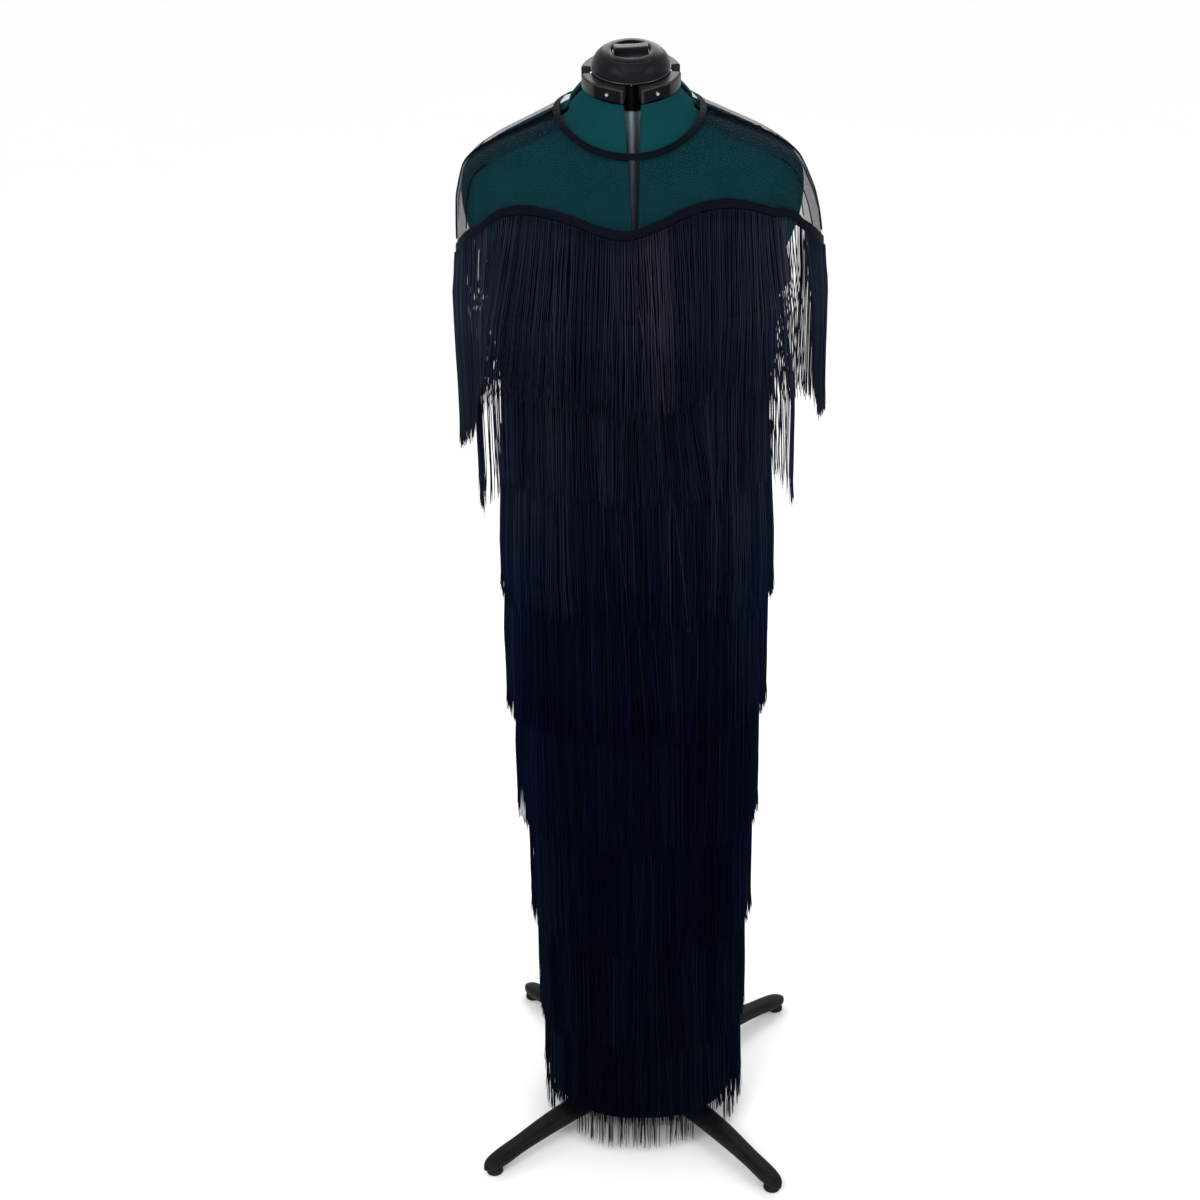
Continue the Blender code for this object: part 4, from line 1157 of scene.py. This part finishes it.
def sweepTape(name, start, end, height, sectionAt, topOf):
    # woven tape that the strands hang from
    def place(u, v):
        angle = start + u * (end - start)
        down, out = roundedSection(v, height / 2 - 0.0002, fringe["tapeThick"] / 2 - 0.0001)
        z = topOf(angle) - height / 2 + down
        section = sectionAt(angle, z, topOf(angle) - z)
        x, y = ringPlan(section, angle)
        outX, outY = outwardOf(section, angle)
        rise = dress["seamGap"] + fringe["tapeThick"] / 2 + out
        return np.stack([x + outX * rise, y + outY * rise, z], -1)

    bm = gridMesh(240, 10, ((end - start) / (2 * math.pi), 0.024), place)
    closeMesh(bm)
    return addPiece(name, bm, [trimBlack], "form", "black_fringe")


# Sideways combing of each row: place round the dress in metres, width, shift at the tips
topCombing = [
    (-0.106, 0.036, -0.034), (-0.060, 0.020, -0.010), (0.012, 0.016, 0.005),
    (0.070, 0.018, -0.005), (0.120, 0.024, 0.014), (0.158, 0.022, 0.018), (-0.030, 0.014, -0.005),
]
topBackCombing = [
    (0.330, 0.030, 0.008), (0.420, 0.028, -0.008), (0.500, 0.024, 0.007), (0.590, 0.030, -0.009),
]
rowCombing = [
    [(-0.120, 0.030, -0.008), (0.036, 0.024, 0.026), (0.180, 0.030, 0.008), (0.420, 0.03, -0.008)],
    [(-0.060, 0.020, 0.007), (0.090, 0.030, -0.006), (0.330, 0.03, 0.007), (0.560, 0.02, -0.006)],
    [(-0.150, 0.025, -0.007), (0.010, 0.020, 0.006), (0.160, 0.025, 0.007), (0.470, 0.03, 0.007)],
    [(-0.090, 0.030, 0.006), (0.070, 0.020, -0.005), (0.200, 0.020, 0.006), (0.380, 0.02, -0.007)],
    [(-0.020, 0.030, -0.006), (0.120, 0.025, 0.006), (0.290, 0.03, -0.006), (0.600, 0.03, 0.006)],
    [(-0.140, 0.020, 0.006), (0.040, 0.030, 0.006), (0.350, 0.02, 0.006), (0.520, 0.03, -0.007)],
    [(-0.070, 0.025, -0.005), (0.100, 0.020, 0.006), (0.310, 0.03, 0.006), (0.450, 0.02, -0.005)],
]


def topRowStart(angle):
    return hemHeight(angle) - dress["bandDrop"] - dress["seamGap"]


def topSection(angle, z, drop):
    start = topRowStart(angle)
    share = np.clip((start - z) / (start - dress["topBendHeight"]), 0, 1)
    level = np.maximum(z, dress["topBendHeight"])
    low, high = fringe["topStandoff"]
    return coverRing(angle, level, low + (high - low) * share)


def topRowLength(angle):
    left = np.clip((-np.sin(angle) - 0.80) / 0.08, 0, 1)
    return dress["topRowLength"] + dress["topTapeHeight"] + dress["topRowExtraLeft"] * left


def makeTopRow(name, node, start, combing, seed):
    end = start + math.pi
    points, outward, place = layStrands(
        strandAngles(start, end, fringe["strandsHalf"], topKept), seed,
        topSection, topRowStart, topRowLength, combing, dress["headerTop"] - fringe["ridgeDrop"],
    )
    tone = strandTones(len(place), place, seed + 5)
    piece = addThreads(
        name, points, outward, fringe["radius"], tone, strandBlack[1], "black_fringe", node
    )
    tape = sweepTape(name + "Tape", start, end, fringe["topTape"], topSection, topRowStart)
    return piece, tape


def makeRow(number):
    header = dress["headerTop"] - (number - 2) * dress["rowSpacing"]
    drops, table = hangTable(header)
    chest, hem = number == 2, number == dress["rowCount"] + 1
    kept = chestKept if chest else None
    if number > 3:
        kept = sideKept

    def sideShare(angle):
        # under the arms the second row hangs free of the dress
        return chest * np.clip((np.abs(np.sin(angle)) - 0.88) / 0.08, 0, 1)

    def hangSection(angle, z, drop):
        section = tubeRing(np.zeros_like(angle * drop) + 1.0)
        for side in ("halfWidth", "front", "back"):
            section[side] = np.interp(drop, drops, table[side]) + 0 * angle
        flare = fringe["sideFlare"] * sideShare(angle)
        if number in (4, 5):
            flare = flare + fringe["leftFlare"] * np.clip(-np.sin(angle), 0, 1) ** 4
        section["halfWidth"] += flare * np.clip(drop / 0.12, 0, 1)
        return section

    def tapeSection(angle, z, drop):
        return tubeRing(z)

    def rowTop(angle):
        return np.full_like(angle, header)

    def rowLength(angle):
        short = fringe["hemShort"] * hem * (dice.random(len(angle)) < fringe["hemShortShare"])
        return dress["rowLength"] + fringe["sideLonger"] * sideShare(angle) - short

    start, end = -quarterTurn, 1.5 * math.pi
    points, outward, place = layStrands(
        strandAngles(start, end, fringe["strandsRow"], kept), 20 * number,
        hangSection, rowTop, rowLength, rowCombing[number - 2],
        header - dress["rowSpacing"] - fringe["ridgeDrop"],
    )
    tone = strandTones(len(place), place, 20 * number + 5)
    # painted glints: some strands are coloured lighter to stand for the light they catch
    if number > 2:
        paintedGlint = dice.random(len(place)) < fringe["paintedGlintShare"]
        tone = np.clip(tone + fringe["paintedGlintLift"] * paintedGlint, 0, 1)
    piece = addThreads(
        f"fringeRow{number}", points, outward, fringe["radius"], tone, strandBlack[number],
        "black_fringe", f"fringe_row_{number}",
    )
    tape = sweepTape(
        f"fringeRow{number}Tape", start, end, dress["tapeHeight"], tapeSection, rowTop
    )
    return piece, tape


# Lines on the yoke, in degrees: shoulder seams, and the fold where each sleeve leaves the shoulder
seamLines = (-90, -88.2, 268.2, 90, 88.2, 91.8)
foldLines = (-66, 246, 66, 114)


def yokeLines():
    share = np.linspace(0.012, 0.97, yoke["lineSteps"])
    paths, outs = [], []
    for degrees in seamLines + foldLines:
        steps = 0.45 + share * 0.54 if degrees in foldLines else share
        angles = np.full_like(steps, math.radians(degrees))
        at = steps * hemAt(angles)
        point = puckered(yokePoint(at, angles))
        along = np.gradient(point, axis=0)
        around = yokePoint(at, angles + 0.01) - yokePoint(at, angles - 0.01)
        out = np.cross(along, around)
        out /= np.linalg.norm(out, axis=1)[:, None]
        out *= np.sign(out[:, 2:3] + 1e-9)
        turn = np.arcsin(np.abs(np.sin(angles)))
        rise = yoke["seamRise"] + yoke["lineRise"] - sunk(0.5 - turn / math.pi, steps)
        paths.append(point + out * rise[:, None])
        outs.append(out)
    points, outward = np.array(paths), np.array(outs)
    tone = np.full(len(points), 0.4)
    addThreads(
        "yokeSeams", points, outward, yoke["lineRadius"], tone, trimBlack, "black_trim"
    )


yokeLines()
# Two loose thread ends that curl: x, z, reach, turns
looseEnds = [(0.005, 0.640, 0.0035, 0.55), (0.060, 0.852, 0.0028, 1.1)]


def looseThreads():
    share = np.linspace(0, 1, 30)
    paths = []
    for x, z, reach, turns in looseEnds:
        turn = 2 * math.pi * turns * share
        px = x + reach * (1 - 0.4 * share) * np.sin(turn)
        pz = z - 0.005 * share + reach * np.cos(turn)
        depth = tubeRing(pz)["front"] + standoffTable[-1][1] + 0.0065 + 0.001 * np.sin(3 * turn)
        paths.append(np.stack([px, -depth, pz], -1))
    points = np.array(paths)
    outward = np.zeros_like(points)
    outward[..., 1] = -1.0
    tone = np.ones(len(points))
    addThreads(
        "looseThreads", points, outward, 0.00035, tone, strandBlack[1], "black_fringe"
    )


looseThreads()
fringePieces = list(
    makeTopRow("fringeRow1Front", "fringe_row_1_front", -quarterTurn, topCombing, 101)
)
backFringe = list(
    makeTopRow("fringeRow1Back", "fringe_row_1_back", quarterTurn, topBackCombing, 131)
)
for rowNumber in range(2, dress["rowCount"] + 2):
    fringePieces += makeRow(rowNumber)
print("fringe: rows 1 to", dress["rowCount"] + 1)

# Form: four covered shell panels with slots between them
form = {
    "wall": 0.0035,
    "frontSlot": (0.0200, 0.0070),
    "sideSlot": (0.0160, 0.0050),
    "slotLow": 1.345,
    "across": 40,
    "down": 110,
    "edge": 0.0012,
}


def slotHalf(z, slot):
    share = np.clip((z - form["slotLow"]) / (formRings[0][0] - form["slotLow"]), 0, 1)
    return (slot[1] + (slot[0] - slot[1]) * share) / 2


def makePanel(name, node, start, end):
    # the centre slot is at angle 0 or 180 and the side slot at 90 or 270
    centre = round(start / math.pi) * math.pi
    centreFirst = abs(start - centre) < 0.01

    def place(u, v):
        at = v * (len(formRings) - 1)
        section = ringsAt(formRings, at)
        height = section["zSide"]
        frontHalf = slotHalf(ringHeight(section, np.full_like(u, centre)), form["frontSlot"])
        sideHalf = slotHalf(height, form["sideSlot"])
        power = section["square"] / 2
        depth = section["front"] if math.cos((start + end) / 2) > 0 else section["back"]
        nearCentre = np.arcsin(np.clip(frontHalf / section["halfWidth"], 0, 1) ** power)
        nearSide = np.arcsin(np.clip(sideHalf / depth, 0, 1) ** power)
        first = nearCentre if centreFirst else nearSide
        last = nearSide if centreFirst else nearCentre
        angle = (start + first) + ((end - last) - (start + first)) * u
        x, y = ringPlan(section, angle)
        return np.stack([x, y, ringHeight(section, angle)], -1)

    bm = gridMesh(form["across"], form["down"], (0.26, 0.86), place)
    piece = addPiece(name, bm, [greenCover, shellPlastic], "form", "green_cover", node)
    shell = addWall(piece, form["wall"])
    shell.material_offset = 1
    edge = piece.modifiers.new("edge", "BEVEL")
    edge.width = form["edge"]
    edge.segments = 2
    edge.limit_method = "ANGLE"
    edge.angle_limit = math.radians(50)
    return piece


makePanel("formFrontLeft", "form_front_left", -quarterTurn, 0.0)
makePanel("formFrontRight", "form_front_right", 0.0, quarterTurn)
makePanel("formBackRight", "form_back_right", quarterTurn, math.pi)
makePanel("formBackLeft", "form_back_left", math.pi, 1.5 * math.pi)
print("form: four panels")

# Neck of the form
neck = {
    "lean": math.radians(17),
    "height": 1.4945,
    "clipRadius": 0.0590,
    "clipInner": 0.0400,
    "clipHeight": 0.0165,
    "clipLow": 0.0003,
    "clipBevel": (0.0020, 0.0015),
    "facetTurn": 31.0,
    "facetHalf": 18.0,
    "clipSlot": 0.0210,
    "capRadius": 0.0460,
    "capBase": 0.0168,
    "capSkirt": 0.0198,
    "capRim": 0.0403,
    "recessFloor": 0.0323,
    "recessRadius": 0.0230,
    "dialRadius": 0.0225,
    "dialLow": 0.0326,
    "dialTop": 0.0383,
    "gripLength": 0.0400,
    "gripWidth": 0.0130,
    "gripTop": 0.0453,
    "gripSink": 0.0012,
    "gripWaist": 0.16,
    "gripDip": 0.0009,
    "dialTurn": math.radians(4),
    "domeInset": 0.0030,
    "plateTop": math.radians(66),
    "plateDrop": math.radians(34),
    "plateWidth": (0.048, 0.029),
    "lipHeight": 0.0190,
    "lipRadius": 0.0010,
    "flatScrew": (0.0080, 0.0023),
    "sideScrew": (0.0125, 0.0018),
    "sideScrewRadius": 0.0462,
    "socketScrew": (0.0045, 0.0020),
    "screwDepth": 0.0014,
    "socketRadius": 0.0165,
    "socketBottom": 1.4640,
}
neckPlace = Matrix.Translation((0, 0, neck["height"])) @ Matrix.Rotation(neck["lean"], 4, "X")


def spun(profile, steps):
    # a closed turned shape about Z from radius and height
    bm = bmesh.new()
    verts = [bm.verts.new((radius, 0, height)) for radius, height in profile]
    edges = [bm.edges.new(pair) for pair in zip(verts, verts[1:])]
    if profile[0][0] > 0:
        edges.append(bm.edges.new((verts[-1], verts[0])))
    bmesh.ops.spin(
        bm, geom=verts + edges, cent=(0, 0, 0), axis=(0, 0, 1),
        angle=2 * math.pi, steps=steps, use_merge=True, use_duplicate=False,
    )
    bmesh.ops.remove_doubles(bm, verts=bm.verts[:], dist=1e-6)
    bmesh.ops.recalc_face_normals(bm, faces=bm.faces[:])
    return bm


def roundEdges(bm, offset, segments, degrees=40):
    # softens every edge that turns more than an angle
    sharp = [
        edge for edge in bm.edges
        if len(edge.link_faces) == 2 and edge.calc_face_angle() > math.radians(degrees)
    ]
    bmesh.ops.bevel(
        bm, geom=sharp, offset=offset, offset_type="OFFSET", segments=segments,
        profile=0.5, affect="EDGES", material=-1, clamp_overlap=True,
    )


def facetAt(startDegrees):
    # each clip has its flat beside the front or back gap
    centre = 270 if startDegrees >= 180 else 90
    side = -1 if startDegrees in (180, 0) else 1
    return math.radians(centre + side * neck["facetTurn"])


def makeClip(name, node, startDegrees):
    inner, outer, high = neck["clipInner"], neck["clipRadius"], neck["clipHeight"]
    halfSlot = math.asin(neck["clipSlot"] / 2 / outer)
    begin = math.radians(startDegrees) + halfSlot
    end = math.radians(startDegrees + 90) - halfSlot
    bm = bmesh.new()
    corners = [
        (inner, neck["clipLow"]),
        (outer, neck["clipLow"]),
        (outer, high - neck["clipBevel"][1]),
        (outer - neck["clipBevel"][0], high),
        (inner, high),
    ]
    verts = [
        bm.verts.new((radius * math.cos(begin), radius * math.sin(begin), height))
        for radius, height in corners
    ]
    face = bm.faces.new(verts)
    bmesh.ops.spin(
        bm, geom=[face, *face.edges, *verts], cent=(0, 0, 0), axis=(0, 0, 1),
        angle=end - begin, steps=22, use_duplicate=False,
    )
    bmesh.ops.recalc_face_normals(bm, faces=bm.faces[:])
    facet = facetAt(startDegrees)
    half = math.radians(neck["facetHalf"])
    for vert in bm.verts:
        turn, radius = math.atan2(vert.co.y, vert.co.x) - facet, vert.co.xy.length
        turn = math.remainder(turn, 2 * math.pi)
        if abs(turn) < half and radius > inner + 0.005:
            shorter = math.cos(half) / math.cos(turn)
            vert.co.x *= shorter
            vert.co.y *= shorter
    for face in bm.faces:
        centre = face.calc_center_median()
        turn = math.remainder(math.atan2(centre.y, centre.x) - facet, 2 * math.pi)
        beside = centre.xy.length > outer * 0.94 and centre.z < high - 0.001
        face.material_index = int(abs(turn) < half and beside)
    roundEdges(bm, 0.0006, 2)
    moveBy(bm, neckPlace)
    addPiece(name, bm, [clipPlastic, facetPlastic], "form", "neck_plastic", node, sharp=14)


def makeCap():
    base, skirt, rim = neck["capBase"], neck["capSkirt"], neck["capRim"]
    recess, floorLevel, radius = neck["recessRadius"], neck["recessFloor"], neck["capRadius"]
    profile = [(0, base), (radius - 0.0020, base), (radius - 0.0006, base + 0.0006)]
    profile += [(radius, base + 0.0018), (radius, skirt)]
    inner = recess + neck["domeInset"]
    for i in range(1, 15):
        turn = quarterTurn * i / 14
        out = inner + (radius - inner) * math.cos(turn)
        profile.append((out, skirt + (rim - skirt) * math.sin(turn)))
    profile += [(recess + 0.0012, rim), (recess + 0.0003, rim - 0.0004), (recess, rim - 0.0013)]
    profile += [(recess, floorLevel), (0, floorLevel)]
    bm = spun(profile, 72)
    moveBy(bm, neckPlace)
    addPiece("neckCap", bm, [neckPlastic], "form", "neck_plastic", "neck_cap", sharp=40)


def makeCapPlate():
    # a plain four-sided plate let into the front of the dome, and the dome's bright lower lip
    def place(u, v):
        turn = neck["plateTop"] - neck["plateDrop"] * v
        inner = neck["recessRadius"] + neck["domeInset"]
        out = inner + (neck["capRadius"] - inner) * np.cos(turn) + 0.0005
        wide, narrow = neck["plateWidth"]
        x = (u - 0.5) * (wide + (narrow - wide) * v)
        z = neck["capSkirt"] + (neck["capRim"] - neck["capSkirt"]) * np.sin(turn) + 0.0003
        return np.stack([x, -np.sqrt(out**2 - x**2), z], -1)

    bm = gridMesh(16, 6, (0.044, 0.010), place)
    moveBy(bm, neckPlace)
    plate = addPiece("capPlate", bm, [platePlastic], "form", "neck_plastic")
    addWall(plate, 0.0008)
    profile = []
    for i in range(12):
        turn = math.radians(30 * i)
        out = neck["capRadius"] + neck["lipRadius"] * math.cos(turn)
        profile.append((out, neck["lipHeight"] + neck["lipRadius"] * math.sin(turn)))
    lip = spun(profile, 96)
    moveBy(lip, neckPlace)
    addPiece("capLip", lip, [lipPlastic], "form", "neck_plastic")


def makeScrews():
    # one on each flat, one in each side gap and one on the socket: turn, radius, height, size
    flat = neck["clipRadius"] * math.cos(math.radians(neck["facetHalf"]))
    places = [(facetAt(start), flat, *neck["flatScrew"]) for start in (0, 90, 180, 270)]
    places += [(turn, neck["sideScrewRadius"], *neck["sideScrew"]) for turn in (0.0, math.pi)]
    places.append((1.5 * math.pi, neck["socketRadius"], *neck["socketScrew"]))
    whole = bmesh.new()
    for turn, radius, height, size in places:
        head = bmesh.new()
        bmesh.ops.create_cone(
            head, cap_ends=True, segments=18,
            radius1=size, radius2=size * 0.82, depth=neck["screwDepth"],
        )
        top = [face for face in head.faces if face.normal.z > 0.9]
        bmesh.ops.inset_region(head, faces=top, thickness=size * 0.40, depth=-0.0005)
        spot = Matrix.Rotation(turn, 4, "Z") @ Matrix.Translation((radius + 0.0006, 0, height))
        spot = neckPlace @ spot @ Matrix.Rotation(quarterTurn, 4, "Y")
        moveBy(head, spot)
        takeIn(whole, head)
    addPiece("neckScrews", whole, [screwSteel], "form", "pole_steel", sharp=30)


def makeDial():
    low, top, radius = neck["dialLow"], neck["dialTop"], neck["dialRadius"]
    bm = spun([(0, low), (radius, low), (radius, top - 0.001), (radius - 0.001, top), (0, top)], 64)
    grip = bmesh.new()
    bmesh.ops.create_cube(grip, size=1.0)
    bmesh.ops.subdivide_edges(grip, edges=grip.edges[:], cuts=5, use_grid_fill=True)
    foot = top - neck["gripSink"]
    for vert in grip.verts:
        # narrower and a little lower in the middle
        middle = 1 - (abs(vert.co.x) * 2) ** 2
        height = vert.co.z + 0.5
        vert.co.x *= neck["gripLength"]
        vert.co.y *= neck["gripWidth"] * (1.0 - neck["gripWaist"] * middle)
        vert.co.z = foot + (neck["gripTop"] - foot) * height - neck["gripDip"] * middle * height
    roundEdges(grip, 0.0018, 3, 60)
    takeIn(bm, grip)
    moveBy(bm, neckPlace @ Matrix.Rotation(neck["dialTurn"], 4, "Z"))
    addPiece("neckDial", bm, [gripPlastic], "dial", "neck_plastic", "dial", sharp=40)


def makeSocket():
    plane = neckPlace @ Vector((0, 0, neck["clipHeight"]))
    bm = spun([(0, 0), (neck["socketRadius"], 0), (neck["socketRadius"], 1), (0, 1)], 40)
    slope = math.tan(neck["lean"])
    for vert in bm.verts:
        if vert.co.z > 0.5:
            vert.co.z = plane.z + (vert.co.y - plane.y) * slope - 0.0004
        else:
            vert.co.z = neck["socketBottom"]
    roundEdges(bm, 0.0008, 2)
    addPiece("neckSocket", bm, [neckPlastic], "form", "neck_plastic", "neck_socket", sharp=50)


makeClip("clipBackRight", "neck_clip_back_right", 0)
makeClip("clipBackLeft", "neck_clip_back_left", 90)
makeClip("clipFrontLeft", "neck_clip_front_left", 180)
makeClip("clipFrontRight", "neck_clip_front_right", 270)
makeCap()
makeCapPlate()
makeDial()
makeSocket()
makeScrews()
print("neck: clips, cap, dial and socket")

# Stand
stand = {
    "reach": 0.288,
    "footRadius": 0.012,
    "footHeight": 0.008,
    "footInset": 0.006,
    "legFirst": 0.0483,
    "legSquare": 3.2,
    "legTipFrom": 0.94,
    "legTipLeast": 0.02,
}
# A leg's sections: share of the way out, half width, underside, top
legSections = [
    (0.00, 0.0190, 0.0180, 0.0380),
    (0.25, 0.0180, 0.0210, 0.0415),
    (0.50, 0.0160, 0.0200, 0.0400),
    (0.75, 0.0130, 0.0140, 0.0320),
    (0.92, 0.0125, 0.0085, 0.0250),
    (1.00, 0.0090, 0.0085, 0.0200),
]


def makeLeg(number, direction):
    ray = np.array([direction[0], direction[1], 0.0])
    across = np.array([-direction[1], direction[0], 0.0])
    last = stand["reach"] + stand["footRadius"]

    def place(u, v):
        run = stand["legFirst"] + (last - stand["legFirst"]) * u
        half = softRead(legSections, 1, u)
        low, high = softRead(legSections, 2, u), softRead(legSections, 3, u)
        past = np.clip((u - stand["legTipFrom"]) / (1 - stand["legTipFrom"]), 0, 1)
        tipShare = np.sqrt(np.clip(1 - past**2, stand["legTipLeast"], 1))
        aside, up = roundedSection(v, 1.0, 1.0, stand["legSquare"])
        middle = (low + high) / 2
        side = aside * half * tipShare
        rise = middle + up * (high - low) / 2 * (0.4 + 0.6 * tipShare)
        return run[:, None] * ray + side[:, None] * across + rise[:, None] * np.array([0, 0, 1.0])

    bm = gridMesh(60, 28, (0.25, 0.11), place)
    closeMesh(bm)
    addPiece(
        f"leg{number}", bm, [standPlastic], "stand", "stand_plastic", f"leg_{number}", sharp=60
    )


def makeFoot(number, direction):
    radius, height = stand["footRadius"], stand["footHeight"]
    profile = [(0, 0), (radius - 0.0015, 0), (radius, 0.0012), (radius - 0.0006, height - 0.001)]
    profile += [(radius - 0.0014, height), (0, height)]
    bm = spun(profile, 40)
    reach = stand["reach"] - stand["footInset"]
    moveBy(bm, Matrix.Translation((direction[0] * reach, direction[1] * reach, 0)))
    addPiece(
        f"foot{number}", bm, [footRubber], "stand", "foot_rubber", f"foot_{number}", sharp=50
    )


def makeTurned(name, node, material, body, slotName, edge, profile):
    bm = spun(profile, 64)
    roundEdges(bm, edge, 2)
    addPiece(name, bm, [material], body, slotName, node, sharp=50)


for number, direction in enumerate(legDirections(), 1):
    makeLeg(number, direction)
    makeFoot(number, direction)
makeTurned("hub", "hub", standPlastic, "stand", "stand_plastic", 0.0006, [
    (0, 0.016), (0.048, 0.016), (0.048, 0.040), (0.042, 0.0435), (0.030, 0.048), (0.0245, 0.056),
    (0.021, 0.078), (0.0148, 0.078), (0.0148, 0.026), (0, 0.026),
])
makeTurned("poleOuter", "pole_outer", standPlastic, "stand", "stand_plastic", 0.0003, [
    (0.013, 0.0263), (0.0145, 0.0263), (0.0145, 0.700), (0.013, 0.700),
])
makeTurned("poleCollar", "pole_collar", standPlastic, "stand", "stand_plastic", 0.0006, [
    (0.013, 0.7003), (0.0185, 0.7003), (0.0205, 0.7063), (0.0205, 0.7263), (0.0165, 0.7363),
    (0.013, 0.7363),
])
makeTurned("poleInner", "pole_inner", poleSteel, "form", "pole_steel", 0.0003, [
    (0.0105, 0.450), (0.012, 0.450), (0.012, 1.4637), (0.0105, 1.4637),
])
print("stand: legs, feet, hub and poles")

# The bracket keeps its imported solid, with points that lie on top of each other welded together
bracket = frame["nodes"]["waist_bracket"]
bracket.data.materials.clear()
bracket.data.materials.append(standPlastic)
soften = bracket.modifiers.new("weld", "WELD")
soften.merge_threshold = 0.00001
